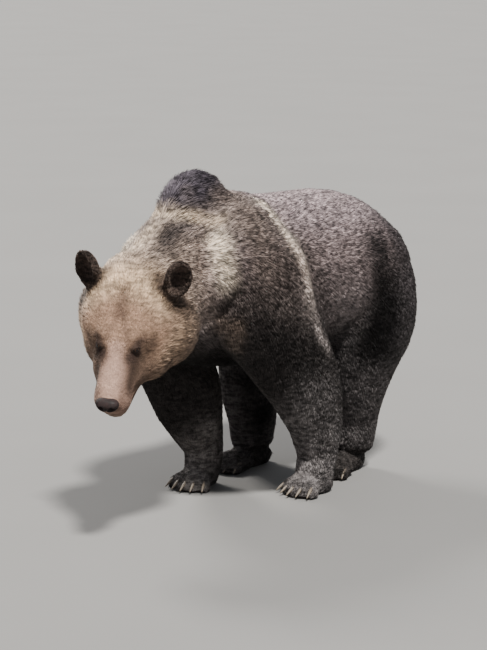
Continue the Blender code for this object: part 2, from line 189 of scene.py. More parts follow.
class BearSettings(PropertyGroup):
    skin: PointerProperty(type=BearSkinSettings)
    coat: PointerProperty(type=BearCoatSettings)
    eyes: PointerProperty(type=BearEyeSettings)
    nose: PointerProperty(type=BearNoseSettings)
    claws: PointerProperty(type=BearClawSettings)
    stage: PointerProperty(type=BearStageSettings)


# ------------------------------------------------------------------ arrays and meshes


def middle(node):
    low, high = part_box(node)
    return (low + high) / 2


def head_frame():
    """The matrix from the head's own axes to the world, from the solids' eyes and nose."""
    left, right, nose = (middle(node) for node in ("eye_left", "eye_right", "nose"))
    across = (left - right).normalized()
    back = ((left + right) / 2 - nose).normalized()
    over = across.cross(back)
    slant = math.atan2(EYE_SEAT.z - NOSE_SEAT.z, EYE_SEAT.y - NOSE_SEAT.y)
    along = back * math.cos(slant) - over * math.sin(slant)
    up = back * math.sin(slant) + over * math.cos(slant)
    turn = Matrix((across, along, up)).transposed()
    return Matrix.Translation(nose - turn @ NOSE_SEAT) @ turn.to_4x4()


HEAD = head_frame()


def head_axes():
    return np.array(HEAD.to_3x3()), np.array(HEAD.translation)


def to_head(points):
    """World points in the head's own axes."""
    turn, place = head_axes()
    return (points - place) @ turn


def from_head(directions):
    """Directions in the head's own axes, in the world's."""
    turn, _ = head_axes()
    return directions @ turn.T


def values_of(items, key, width, kind=np.float32):
    """One value of each item of a mesh, as rows of an array."""
    flat = np.empty(len(items) * width, kind)
    items.foreach_get(key, flat)
    return flat.reshape(-1, width)


def points_of(mesh):
    return values_of(mesh.vertices, "co", 3).astype(float)


def set_points(mesh, points):
    mesh.vertices.foreach_set("co", points.astype(np.float32).ravel())
    mesh.update()


def normals_of(mesh):
    return values_of(mesh.vertex_normals, "vector", 3).astype(float)


def edges_of(mesh):
    return values_of(mesh.edges, "vertices", 2, np.int32)


def unit(vectors):
    return vectors / np.maximum(np.linalg.norm(vectors, axis=1, keepdims=True), 1e-9)


def along_skin(vectors, normals):
    """The vectors laid down on the skin, as unit vectors."""
    return unit(vectors - normals * (vectors * normals).sum(1)[:, None])


def ramp(values, low, high):
    """0 up to low, 1 from high on, and a smooth rise between."""
    t = np.clip((values - low) / (high - low), 0, 1)
    return t * t * (3 - 2 * t)


def mirrored(points):
    """The points, with those on the right side set to the left."""
    return points * np.where(points[:, :1] < 0, [-1, 1, 1], [1, 1, 1])


def off_ears(local):
    """Each point's distance from the middle of the nearer ear."""
    return np.minimum(*(np.linalg.norm(local - at, axis=1) for at in EAR_AT.values()))


def bell(distance, reach):
    """1 in the middle, falling smoothly to nearly 0 at twice the reach."""
    return np.exp(-((distance / reach) ** 2))


def blurred(values, edges, rounds, pull=0.5):
    """The values spread over the mesh: each round draws a point towards its neighbours' mean."""
    a, b = edges[:, 0], edges[:, 1]
    count = np.maximum(np.bincount(edges.ravel(), minlength=len(values)), 1)
    values = values.copy()
    columns = values.reshape(len(values), -1)
    for _ in range(rounds):
        for column in columns.T:
            total = np.bincount(a, column[b], len(count)) + np.bincount(b, column[a], len(count))
            column += pull * (total / count - column)
    return values


def coherent_noise(points, scale, shift=0.0):
    """Smooth noise from -1 to 1 at each point."""
    move = Vector((shift, 2 * shift, -shift))
    return np.array([noise.noise(Vector(p) * scale + move) for p in points])


FIELDS = {"FLOAT": "value", "FLOAT_VECTOR": "vector", "FLOAT_COLOR": "color"}


def write(mesh, name, kind, values):
    """Stores the values on the mesh's points under that name."""
    attribute = mesh.attributes.get(name) or mesh.attributes.new(name, kind, "POINT")
    attribute.data.foreach_set(FIELDS[kind], np.asarray(values, np.float32).ravel())


def read(mesh, name):
    """One stored number for each of the mesh's points."""
    return values_of(mesh.attributes[name].data, "value", 1)[:, 0].astype(float)


def new_object(name, mesh):
    obj = bpy.data.objects.new(name, mesh)
    bpy.context.scene.collection.objects.link(obj)
    return obj


def mesh_from(bm, name):
    mesh = bpy.data.meshes.new(name)
    bm.to_mesh(mesh)
    bm.free()
    return mesh


def smooth_mesh(bm, name):
    mesh = mesh_from(bm, name)
    mesh.shade_smooth()
    return mesh


def evaluated_mesh(obj):
    bpy.context.view_layer.update()
    graph = bpy.context.evaluated_depsgraph_get()
    return bpy.data.meshes.new_from_object(obj.evaluated_get(graph))


def unwrap(obj, name):
    """Unwraps the whole mesh by its own shape, into islands that don't overlap."""
    while obj.data.uv_layers:
        obj.data.uv_layers.remove(obj.data.uv_layers[0])
    obj.data.uv_layers.new(name=name)
    for other in bpy.context.selected_objects:
        other.select_set(False)
    obj.select_set(True)
    bpy.context.view_layer.objects.active = obj
    bpy.ops.object.mode_set(mode="EDIT")
    bpy.ops.mesh.select_all(action="SELECT")
    bpy.ops.uv.smart_project(angle_limit=math.radians(66), island_margin=0.002)
    bpy.ops.object.mode_set(mode="OBJECT")
    obj.select_set(False)


# ------------------------------------------------------------------ node trees


def is_vector(value):
    return isinstance(value, tuple) or isinstance(value, Wire) and value.socket.type == "VECTOR"


def reckoning(operation, swapped=False):
    """The method of a wire that adds this maths node."""
    def method(self, other):
        return self.graph.maths(operation, *((other, self) if swapped else (self, other)))
    return method


class Wire:
    """What comes out of a node. Reckoning with it adds maths nodes to its tree."""

    def __init__(self, graph, socket):
        self.graph = graph
        self.socket = socket

    __add__ = reckoning("ADD")
    __sub__ = reckoning("SUBTRACT")
    __rsub__ = reckoning("SUBTRACT", swapped=True)
    __mul__ = reckoning("MULTIPLY")
    __truediv__ = reckoning("DIVIDE")
    __rtruediv__ = reckoning("DIVIDE", swapped=True)
    __pow__ = reckoning("POWER")


class Graph:
    """A node tree under construction. A socket is given a wire or a plain value."""

    def __init__(self, tree):
        self.tree = tree
        self.made = 0

    def add(self, kind, values=None, **settings):
        node = self.tree.nodes.new(kind)
        node.location = (180 * (self.made // 4), -220 * (self.made % 4))
        self.made += 1
        for key, value in settings.items():
            setattr(node, key, value)
        self.put(node, values or {})
        return node

    def put(self, node, values):
        for key, value in values.items():
            socket = self.socket(node.inputs, key)
            if isinstance(value, Wire):
                self.tree.links.new(value.socket, socket)
            else:
                socket.default_value = value

    @staticmethod
    def socket(sockets, key):
        if isinstance(key, int):
            return sockets[key]
        return next(s for s in sockets if s.name == key and s.enabled)

    def out(self, node, key=0):
        return Wire(self, self.socket(node.outputs, key))

    def value(self, kind, values=None, output=0, **settings):
        """What comes out of a new node."""
        return self.out(self.add(kind, values, **settings), output)

    def maths(self, operation, a, b=0.0):
        """A maths node, and one for vectors where the first value is a vector."""
        if not is_vector(a):
            return self.value("ShaderNodeMath", {0: a, 1: b}, operation=operation)
        if operation == "MULTIPLY" and not is_vector(b):
            return self.value("ShaderNodeVectorMath", {0: a, "Scale": b}, operation="SCALE")
        output = "Value" if operation == "DOT_PRODUCT" else 0
        return self.value("ShaderNodeVectorMath", {0: a, 1: b}, output, operation=operation)

    def ramp(self, value, low, high):
        """0 below low, 1 above high and a smooth rise between."""
        return self.value(
            "ShaderNodeMapRange", {"Value": value, "From Min": low, "From Max": high},
            interpolation_type="SMOOTHSTEP",
        )

    def vector(self, x, y, z):
        return self.value("ShaderNodeCombineXYZ", {0: x, 1: y, 2: z})

    def parts(self, vector):
        node = self.add("ShaderNodeSeparateXYZ", {0: vector})
        return [self.out(node, axis) for axis in range(3)]

    def mix(self, factor, a, b, blend="MIX"):
        return self.value(
            "ShaderNodeMix", {"Factor": factor, "A": a, "B": b}, "Result",
            data_type="RGBA", blend_type=blend,
        )

    def noise(self, place, scale, detail, **more):
        values = {"Vector": place, "Scale": scale, "Detail": detail, **more}
        return self.value("ShaderNodeTexNoise", values, "Fac")

    # only in materials
    def place(self):
        return self.value("ShaderNodeTexCoord", output="Object")

    def field(self, name, output="Color"):
        return self.value("ShaderNodeAttribute", output=output, attribute_name=name)

    def pebbles(self, scale):
        values = {"Vector": self.place(), "Scale": scale}
        return self.value("ShaderNodeTexVoronoi", values, "Distance")

    def relief(self, height, strength, distance, invert=False):
        values = {"Strength": strength, "Distance": distance, "Height": height}
        return self.value("ShaderNodeBump", values, invert=invert)

    # only in geometry trees
    def named(self, name, kind="FLOAT"):
        return self.value(
            "GeometryNodeInputNamedAttribute", {"Name": name}, "Attribute", data_type=kind,
        )

    def store(self, geometry, name, value, kind="FLOAT", domain="POINT"):
        return self.value(
            "GeometryNodeStoreNamedAttribute", {"Geometry": geometry, "Name": name, "Value": value},
            data_type=kind, domain=domain,
        )


def new_tree(name, kind, inputs, outputs):
    """An empty node group with the named sockets, the graph to fill it, what it is given by name
    and the node that takes its results."""
    tree = bpy.data.node_groups.new(name, kind)
    for way, sockets in (("INPUT", inputs), ("OUTPUT", outputs)):
        for label, socket, *default in sockets:
            made = tree.interface.new_socket(label, in_out=way, socket_type=f"NodeSocket{socket}")
            if default:
                made.default_value = default[0]
    graph = Graph(tree)
    source = graph.add("NodeGroupInput")
    given = {label: graph.out(source, label) for label, *_ in inputs}
    return tree, graph, given, graph.add("NodeGroupOutput")


# ------------------------------------------------------------------ zones of the coat


# A zone of the coat: depth of the coat, length and width of a tuft, its lift off the skin in
# degrees, the lie of the hair, and the colours of the tufts at root and tip. The lie is in the
# head's own axes where in_head says so, and its first value points away from the middle.
Zone = namedtuple("Zone", "depth length width lift lie in_head root tip")
ZONES = {
    "muzzle": Zone(0.0016, 0.008, 0.0013, 11, (0.1, 1.0, 0.0), True, (0.19, 0.127, 0.099),
         (0.32, 0.223, 0.182)),
    "face": Zone(0.0028, 0.011, 0.0016, 14, (0.25, 1.0, 0.1), True, (0.2, 0.13, 0.092),
         (0.43, 0.3, 0.226)),
    "crown": Zone(0.0055, 0.021, 0.0024, 20, (0.15, 1.0, 0.0), True, (0.25, 0.175, 0.12),
         (0.68, 0.525, 0.385)),
    "cheek": Zone(0.0066, 0.029, 0.0026, 21, (0.35, 1.0, -0.55), True, (0.125, 0.087, 0.064),
         (0.46, 0.342, 0.256)),
    "ear": Zone(0.0032, 0.012, 0.002, 18, (0.32, 0.1, 1.0), True, (0.019, 0.013, 0.0108),
         (0.06, 0.042, 0.034)),
    "neck": Zone(0.01, 0.04, 0.0032, 22, (0.15, 0.8, -0.62), False, (0.12, 0.085, 0.066),
         (0.46, 0.362, 0.302)),
    "hump": Zone(0.01, 0.038, 0.0032, 22, (0.1, 0.95, -0.3), False, (0.1, 0.074, 0.062),
         (0.34, 0.275, 0.24)),
    # the back, on the skin that faces up: grizzled fur, made lighter and bluer with a painted sheen
    # of the sky
    "back": Zone(0.0082, 0.034, 0.0033, 20, (0.08, 1.0, -0.15), False, (0.155, 0.119, 0.116),
         (0.56, 0.458, 0.468)),
    "flank": Zone(0.008, 0.033, 0.0033, 20, (0.0, 0.8, -0.62), False, (0.096, 0.071, 0.067),
         (0.39, 0.31, 0.306)),
    # the belly: dark fur with painted shade over it
    "belly": Zone(0.01, 0.04, 0.0036, 22, (0.0, 1.0, -0.2), False, (0.005, 0.0038, 0.0034),
         (0.014, 0.0108, 0.01)),
    # the rump: dark fur with painted shade over it
    "rump": Zone(0.008, 0.033, 0.0033, 20, (0.1, 0.5, -0.9), False, (0.004, 0.0031, 0.0029),
         (0.013, 0.0102, 0.0099)),
    "tail": Zone(0.009, 0.036, 0.0033, 22, (0.0, 0.35, -1.0), False, (0.013, 0.0095, 0.0086),
         (0.038, 0.029, 0.028)),
    "shoulder": Zone(0.008, 0.031, 0.0032, 21, (0.0, 0.45, -1.0), False, (0.04, 0.029, 0.025),
         (0.15, 0.117, 0.108)),
    "foreleg": Zone(0.0062, 0.025, 0.003, 19, (0.0, 0.2, -1.0), False, (0.012, 0.0088, 0.0078),
         (0.042, 0.033, 0.0308)),
    # the thighs: dark fur with painted shade over it
    "thigh": Zone(0.007, 0.029, 0.0032, 19, (0.0, 0.45, -1.0), False, (0.004, 0.0033, 0.0033),
         (0.0125, 0.0104, 0.0106)),
    "shank": Zone(0.0062, 0.025, 0.003, 19, (0.0, 0.22, -1.0), False, (0.034, 0.0268, 0.0262),
         (0.15, 0.126, 0.126)),
    "paw": Zone(0.0034, 0.017, 0.0024, 18, (0.0, -1.0, -0.5), False, (0.013, 0.0098, 0.0086),
         (0.05, 0.0395, 0.0358)),
}
ORDER = list(ZONES)

# Soft markings and painted light and shade over the zones, the same on both sides: the line each
# follows, how far it reaches off that line, the colours at root and tip, and its strength. Those of
# the body are in world axes
TintLine = namedtuple("TintLine", "line reach root tip share in_head")
BODY_MARKS_AND_PAINTED_LIGHT = (
    # the slate cap of the hump: dark fur with the sky's bluish sheen painted on it
    (((0.016, -0.342, 0.96), (0.012, -0.2, 1.036)), 0.104, (0.032, 0.027, 0.031),
     (0.092, 0.079, 0.096), 1.25),
    # the brown top of the shoulder
    (((0.1, -0.15, 0.945), (0.19, -0.17, 0.895), (0.232, -0.16, 0.81)), 0.07, (0.09, 0.065, 0.054),
     (0.33, 0.26, 0.228), 0.82),
    # the tan band below the cap, the pale crest of the neck and the cream patch before the shoulder
    (((0.02, -0.362, 0.935), (0.048, -0.35, 0.932), (0.088, -0.288, 0.928),
     (0.124, -0.256, 0.914)), 0.028, (0.25, 0.183, 0.127), (0.66, 0.53, 0.4), 0.88),
    (((0, -0.56, 0.82), (0, -0.42, 0.89)), 0.05, (0.26, 0.19, 0.135), (0.66, 0.53, 0.41), 0.8),
    (((0.162, -0.294, 0.866), (0.19, -0.304, 0.815), (0.212, -0.31, 0.76)), 0.036,
     (0.36, 0.28, 0.205), (0.88, 0.76, 0.62), 0.97),
    # painted shade on the neck below the band, a paler patch lower down, and painted shade in the
    # fold below the patch
    (((0.06, -0.405, 0.892), (0.096, -0.47, 0.85)), 0.046, (0.022, 0.0165, 0.015),
     (0.08, 0.064, 0.059), 0.94),
    (((0.15, -0.348, 0.64), (0.172, -0.378, 0.69)), 0.04, (0.13, 0.092, 0.075), (0.5, 0.385, 0.33),
     0.75),
    (((0.232, -0.282, 0.715), (0.214, -0.308, 0.68), (0.194, -0.322, 0.648)), 0.024,
     (0.012, 0.0088, 0.0078), (0.042, 0.031, 0.028), 0.92),
    # the pale hind border of the shoulder in its halo, fading downwards: pale fur with a painted
    # highlight where the light catches the edge of the blade
    (((0.13, 0.0, 0.924), (0.178, -0.006, 0.88), (0.226, 0.012, 0.812), (0.256, 0.03, 0.735),
     (0.271, 0.042, 0.65)), 0.072, (0.12, 0.092, 0.082), (0.44, 0.36, 0.33), 0.42),
    (((0.114, 0.0, 0.936), (0.178, 0.004, 0.882), (0.226, 0.028, 0.812)), 0.036, (0.6, 0.49, 0.38),
     (0.95, 0.84, 0.72), 0.92),
    (((0.226, 0.028, 0.812), (0.256, 0.044, 0.735), (0.271, 0.048, 0.65)), 0.028,
     (0.34, 0.265, 0.22), (0.86, 0.72, 0.64), 0.88),
    (((0.271, 0.048, 0.65), (0.277, 0.086, 0.549), (0.274, 0.13, 0.5)), 0.026, (0.19, 0.146, 0.13),
     (0.62, 0.51, 0.47), 0.74),
    # painted shade behind that border, and the dark hindquarters with a band of painted shade down
    # each side of the rump
    (((0.28, 0.13, 0.64), (0.28, 0.18, 0.52), (0.26, 0.22, 0.44)), 0.055, (0.02, 0.015, 0.0138),
     (0.075, 0.059, 0.057), 0.7),
    (((0.2, 0.6, 0.78), (0.236, 0.59, 0.66), (0.225, 0.59, 0.5)), 0.125, (0.044, 0.0365, 0.0378),
     (0.15, 0.1255, 0.131), 0.82),
    (((0.262, 0.418, 0.765), (0.281, 0.432, 0.67), (0.283, 0.434, 0.56), (0.27, 0.405, 0.46)),
     0.066, (0.003, 0.0024, 0.0023), (0.009, 0.0072, 0.0071), 0.92),
    # painted light that lifts the fold between flank and thigh, and painted shade on the hind legs'
    # inner sides
    (((0.2, 0.3, 0.505), (0.19, 0.32, 0.44)), 0.05, (0.04, 0.032, 0.032), (0.12, 0.099, 0.101),
     0.7),
    (((0.105, 0.25, 0.31), (0.1, 0.285, 0.19)), 0.08, (0.003, 0.0025, 0.0024),
     (0.008, 0.0066, 0.0064), 0.95),
    # the dark fur of the upper arm, and the brown fur before it
    (((0.244, -0.228, 0.61), (0.262, -0.17, 0.57), (0.274, -0.1, 0.53), (0.279, -0.02, 0.47)),
     0.072, (0.009, 0.0067, 0.0064), (0.03, 0.0236, 0.0228), 0.9),
    (((0.186, -0.298, 0.62), (0.222, -0.278, 0.614), (0.2, -0.262, 0.552)), 0.03,
     (0.1, 0.067, 0.048), (0.3, 0.21, 0.156), 0.85),
    # the forelegs' paler fronts: partly paler fur, partly painted light
    (((0.272, 0.065, 0.27), (0.262, 0.12, 0.18), (0.24, 0.12, 0.09)), 0.135, (0.14, 0.118, 0.116),
     (0.27, 0.233, 0.229), 0.78),
    (((0.09, -0.06, 0.18), (0.095, -0.08, 0.06)), 0.075, (0.08, 0.066, 0.061), (0.3, 0.256, 0.24),
     0.85),
)
# and those of the head in its own
HEAD_MARKS_AND_PAINTED_LIGHT = (
    # the darker fur below the eyes and on the muzzle's sides, deepened with painted shade
    (((0.088, -0.112, 0.026), (0.08, -0.136, -0.012), (0.076, -0.168, -0.044),
     (0.064, -0.21, -0.074)), 0.033, (0.04, 0.0262, 0.0192), (0.11, 0.076, 0.057), 0.76),
    (((0.052, -0.172, 0.004), (0.057, -0.198, -0.008), (0.057, -0.24, -0.026)), 0.031,
     (0.018, 0.0118, 0.0092), (0.044, 0.03, 0.0236), 0.92),
    # the pale flat bridge of the muzzle, painted shade in the forehead's groove and down the
    # bridge's sides to the eyes' inner corners, and the eyes' dark hollows: dark fur with painted
    # shade
    (((0, -0.17, 0.042), (0, -0.215, 0.026), (0, -0.27, 0.008)), 0.03, (0.34, 0.23, 0.182),
     (0.54, 0.388, 0.32), 0.88),
    (((0.004, -0.08, 0.102), (0.002, -0.05, 0.114), (0, 0.0, 0.13)), 0.016,
     (0.075, 0.0485, 0.0365), (0.165, 0.112, 0.088), 0.72),
    (((0.004, -0.08, 0.102), (0.02, -0.112, 0.082), (0.031, -0.142, 0.058)), 0.011,
     (0.075, 0.0485, 0.0365), (0.165, 0.112, 0.088), 0.55),
    (((0.06, -0.134, 0.044), (0.055, -0.149, 0.034), (0.043, -0.168, 0.022)), 0.024,
     (0.02, 0.013, 0.0108), (0.054, 0.0365, 0.031), 0.95),
    # the lower cheek
    (((0.07, -0.18, -0.08), (0.11, -0.09, -0.112), (0.15, 0.0, -0.11)), 0.062,
     (0.052, 0.035, 0.0265), (0.17, 0.121, 0.093), 0.78),
    # the lips and the chin
    (((0, -0.295, -0.122), (0, -0.23, -0.14)), 0.036, (0.16, 0.115, 0.09), (0.33, 0.25, 0.205),
     0.8),
    # a line of painted shadow down behind the cheek, and the brown fur at the ears' roots
    (((0.128, 0.03, 0.07), (0.162, 0.046, 0.02), (0.172, 0.06, -0.03)), 0.018,
     (0.034, 0.0225, 0.017), (0.11, 0.077, 0.059), 0.66),
    (((0.082, 0.06, 0.108), (0.104, 0.034, 0.11), (0.13, 0.022, 0.08)), 0.026,
     (0.028, 0.0188, 0.0142), (0.095, 0.066, 0.0505), 0.88),
    (((0.112, 0.04, 0.1), (0.142, 0.034, 0.094)), 0.02, (0.012, 0.008, 0.0065),
     (0.04, 0.0275, 0.022), 0.96),
    (((0.1, 0.034, 0.09), (0.128, 0.014, 0.052), (0.158, 0.016, 0.014)), 0.038,
     (0.018, 0.012, 0.0092), (0.058, 0.04, 0.031), 0.94),
)
MARKS_AND_PAINTED_LIGHT = [
    *(TintLine(*row, in_head=False) for row in BODY_MARKS_AND_PAINTED_LIGHT),
    *(TintLine(*row, in_head=True) for row in HEAD_MARKS_AND_PAINTED_LIGHT),
]
# Soft swellings and hollows of the flesh under the coat, the same on both sides, in world axes: the
# line each follows, how far it reaches and how high it stands
Swelling = namedtuple("Swelling", "line reach height")
SWELLINGS = (
    # the hind edge of the shoulder blade and the hollow behind it
    Swelling(((0.090, 0.000, 0.945), (0.178, 0.006, 0.882), (0.226, 0.030, 0.812),
              (0.256, 0.046, 0.735), (0.271, 0.050, 0.650)), 0.026, 0.0085),
    Swelling(((0.200, 0.075, 0.860), (0.262, 0.095, 0.740), (0.285, 0.110, 0.640)), 0.030, -0.0060),
    # the hollow of the blade and the fold of the neck
    Swelling(((0.205, -0.150, 0.850), (0.262, -0.120, 0.700)), 0.045, -0.0050),
    Swelling(((0.232, -0.282, 0.715), (0.194, -0.322, 0.648)), 0.020, -0.0070),
)
# The colours at root and tip inside the ears and on their rims
EAR_INSIDE = (0.022, 0.015, 0.0122), (0.075, 0.0515, 0.042)
EAR_RIM = (0.014, 0.0096, 0.0078), (0.050, 0.0345, 0.0280)


def off_line(points, line):
    """Each point's distance from the nearest part of a line of straight lengths."""
    nearest = np.full(len(points), np.inf)
    for start, end in zip(line, line[1:]):
        start, run = np.array(start), np.subtract(end, start)
        along = np.clip((points - start) @ run / max(run @ run, 1e-12), 0, 1)
        nearest = np.minimum(nearest, np.linalg.norm(points - start - along[:, None] * run, axis=1))
    return nearest


# How the trunk and the upper forelegs are shared out among the zones, by height, by place along
# the body and by how far the skin faces up or down
SHOULDER_FOOT = 0.58
# the trunk's skin that faces down more than this, below the belly's top, takes the belly's dark fur
# with painted shade
BELLY_TOP, BELLY_SHADE_SLANT = 0.60, -0.55
HUMP_BACK, HUMP_FOOT = -0.02, 0.86
RUMP_FRONT, RUMP_TOP = 0.53, 0.84
# the trunk's skin that faces up more than this takes the back's colours, with their painted sky
# sheen
BACK_SHEEN_SLANT = 0.60
ZONE_OF = {
    "head": "face", "lower_jaw": "face", "neck": "neck", "tail": "tail", "upper": "foreleg",
    "lower": "foreleg", "thigh": "thigh", "shank": "shank",
}


def zone_of(node, point, normal):
    """The zone of a point that lies nearest to that solid."""
    if node.startswith("ear"):
        return "ear"
    if "paw" in node:
        return "paw"
    if node == "trunk":
        if normal.z < BELLY_SHADE_SLANT and point.z < BELLY_TOP:
            return "belly"
        if point.y < HUMP_BACK and point.z > HUMP_FOOT:
            return "hump"
        if point.y > RUMP_FRONT and point.z < RUMP_TOP:
            return "rump"
        return "back" if normal.z > BACK_SHEEN_SLANT else "flank"
    if node.endswith("upper") and point.z > SHOULDER_FOOT:
        return "shoulder"
    return ZONE_OF[node if node in ZONE_OF else node.rsplit("_", 1)[-1]]


def head_shares(local):
    """How much of each of the head's zones there is at each point, in the head's own axes."""
    x, y, z = np.abs(local[:, 0]), local[:, 1], local[:, 2]
    muzzle = ramp(-y - 0.35 * x, 0.130, 0.190)
    behind = ramp(y + 0.25 * x, -0.060, 0.030)
    above = ramp(z - 0.25 * x, -0.010, 0.050)
    crown = (1 - muzzle) * behind * above
    side = ramp(x * 0.9 - z * 0.8 + y * 0.25, 0.075, 0.125)
    cheek = (1 - muzzle - crown) * np.maximum(side, behind)
    return {"muzzle": muzzle, "face": 1 - muzzle - crown - cheek, "crown": crown, "cheek": cheek}


# ------------------------------------------------------------------ the skin


def flesh_tree():
    """The nearest solid to any point, as a search tree and the node of each of its faces."""
    corners, faces, owners = [], [], []
    for node in FLESH:
        mesh = NODES[node].data
        mesh.calc_loop_triangles()
        start = len(corners)
        corners += [v.co.copy() for v in mesh.vertices]
        faces += [[start + i for i in triangle.vertices] for triangle in mesh.loop_triangles]
        owners += [node] * len(mesh.loop_triangles)
    return BVHTree.FromPolygons(corners, faces), owners


def fused_flesh(cell):
    """All the flesh, the nose and the eyes as one closed mesh."""
    bm = bmesh.new()
    for node in (*FLESH, "nose", "eye_left", "eye_right"):
        bm.from_mesh(NODES[node].data)
    bmesh.ops.remove_doubles(bm, verts=bm.verts, dist=1e-6)
    body = new_object("flesh", mesh_from(bm, "flesh"))
    fuse = body.modifiers.new("Fuse", "REMESH")
    fuse.mode = "VOXEL"
    fuse.voxel_size = cell
    mesh = evaluated_mesh(body)
    bpy.data.objects.remove(body)
    return mesh


def smoothed(mesh, rounds):
    """Takes the facets out of the mesh without shrinking it, with a light hand on paws and ears."""
    edges = edges_of(mesh)
    points = points_of(mesh)
    local = to_head(points)
    ears = bell(off_ears(local), 0.080)
    paws = 1 - ramp(points[:, 2], 0.06, 0.12)
    muzzle = 0.5 * ramp(-local[:, 1], 0.16, 0.24) * (np.linalg.norm(local, axis=1) < 0.45)
    free = np.clip(1 - np.maximum(ears * 0.9, np.maximum(paws * 0.9, muzzle)), 0.10, 1)[:, None]
    for pull in (0.5, -0.53) * rounds:
        points += free * (blurred(points, edges, 1, pull) - points)
    points = blurred(points, edges, 2)
    set_points(mesh, points)


def zone_shares(mesh):
    """Stores on the mesh how much of each zone there is at each point, and its nearest solid."""
    tree, owners = flesh_tree()
    points, normals, edges = points_of(mesh), normals_of(mesh), edges_of(mesh)
    shares = np.zeros((len(points), len(ORDER)))
    nodes = np.empty(len(points), int)
    for i, (point, normal) in enumerate(zip(points, normals)):
        node = owners[tree.find_nearest(Vector(point))[2]]
        nodes[i] = FLESH.index(node)
        shares[i, ORDER.index(zone_of(node, Vector(point), Vector(normal)))] = 1
    # wide changes from zone to zone, but narrow ones at the ears and the paws
    ear, paw = (shares[:, ORDER.index(zone)].copy() for zone in ("ear", "paw"))
    shares = blurred(shares, edges, 110)
    for zone, own in (("ear", blurred(ear, edges, 3)), ("paw", blurred(paw, edges, 8))):
        k = ORDER.index(zone)
        rest = np.maximum(shares.sum(1) - shares[:, k], 1e-6)
        shares *= ((1 - own) / rest)[:, None]
        shares[:, k] = own
    for k, zone in enumerate(ORDER):
        write(mesh, f"zone_{zone}", "FLOAT", shares[:, k])
    write(mesh, "nearest", "FLOAT", nodes)


def refine(mesh, chosen):
    """Cuts the edges that lie in the chosen part in two."""
    bm = bmesh.new()
    bm.from_mesh(mesh)
    bm.verts.ensure_lookup_table()
    mask = chosen(to_head(np.array([v.co for v in bm.verts])))
    edges = [e for e in bm.edges if mask[e.verts[0].index] and mask[e.verts[1].index]]
    bmesh.ops.subdivide_edges(bm, edges=edges, cuts=1, use_grid_fill=True, smooth=0.0)
    bm.to_mesh(mesh)
    bm.free()
    mesh.update()


def refine_head(mesh):
    """Makes the mesh finer on the face and the ears, and finest round the eyes and the mouth."""
    def ball(p, y, radius):
        return np.linalg.norm(p - [0, y, -0.02], axis=1) < radius

    def face(p):
        return ball(p, -0.12, 0.24) & (p[:, 1] < 0.0) | (off_ears(p) < 0.085)

    def front(p):
        return ball(p, -0.22, 0.16) & (p[:, 1] < -0.09)

    def fine(p):
        eyes = np.linalg.norm(mirrored(p) - EYE_SEAT, axis=1) < 0.026
        lips = (np.abs(off_mouth(p)) < 0.010) & (p[:, 1] < MOUTH_CORNER + 0.012) & (p[:, 1] > -0.36)
        return eyes | lips

    for chosen in (face, front, fine):
        refine(mesh, chosen)
    points, edges = points_of(mesh), edges_of(mesh)
    near = ball(to_head(points), -0.15, 0.30)[:, None]
    for pull in (0.5, -0.52) * 6:
        points += near * (blurred(points, edges, 1, pull) - points)
    set_points(mesh, points)


def ear_parts(local, normals, side):
    """How far each point lies in the cup of an ear and on its rim; the normals are the world's."""
    lean, splay, turn = (math.radians(a) for a in EAR_TURN)
    turned = np.array(Euler((lean, side * splay, side * turn)).to_matrix())
    x, y, z = ((local - EAR_AT[side]) @ turned / np.array(EAR_RADII)).T
    front = -(normals @ np.array(HEAD.to_3x3()) @ turned)[:, 1]
    off = np.hypot(x, z - 0.05)
    here = (off < 1.3) & (np.abs(y) < 1.4)
    cup = (1 - ramp(np.hypot(1.25 * x, z - 0.02), 0.35, 0.98)) * ramp(front, -0.1, 0.4) * here
    rim = bell(off - 0.98, 0.20) * ramp(front, -0.5, 0.2) * ramp(z, -0.6, 0.0) * here
    return cup, rim


def eye_axes(side):
    """Where an eye sits and which way it looks."""
    seat, gaze = EYE_SEAT.copy(), GAZE.copy()
    seat.x *= side
    gaze.x *= side
    return seat, gaze


def opening(local, side):
    """How far out of an eye's opening each point lies: 1 on its rim. Also the distance from the
    eye, how high the point is above the eye's middle and the way to it, as a unit vector."""
    seat, gaze = (np.array(v) for v in eye_axes(side))
    slant = np.array((side * 0.76, 0.62, -0.10))
    across = unit((slant - gaze * (slant @ gaze))[None])[0]
    upward = np.cross(across, gaze) * side
    upward *= np.sign(upward[2])
    away = local - seat
    distance = np.linalg.norm(away, axis=1)
    ray = away / np.maximum(distance, 1e-6)[:, None]
    wide, high, front = ray @ across, ray @ upward, ray @ gaze
    out = ((np.abs(wide) / 0.66) ** 1.8 + (np.abs(high - 0.03) / 0.40) ** 1.8) ** (1 / 1.8)
    return np.where(front > 0, out, 9.0), distance, high, ray


def shape_lids(local, side):
    """Draws the skin round an eye into lids that lie on the ball, and opens it between them."""
    out, distance, high, ray = opening(local, side)
    seat, _ = eye_axes(side)
    lid = EYE_RADIUS + 0.0014 + 0.0008 * ramp(high, -0.1, 0.1)
    within = EYE_RADIUS - 0.0030
    over = lid + (np.maximum(distance, lid) - lid) * ramp(out, 1.10, 3.0)
    target = within + (over - within) * ramp(out, 0.92, 1.08)
    crease = bell(out - 1.85, 0.20) * np.where(high > 0, 0.0014, 0.0008)
    near = (1 - ramp(distance, 0.023, 0.032)) * (out < 8)
    radius = distance + near * (target - crease - distance)
    return np.array(seat) + ray * radius[:, None]


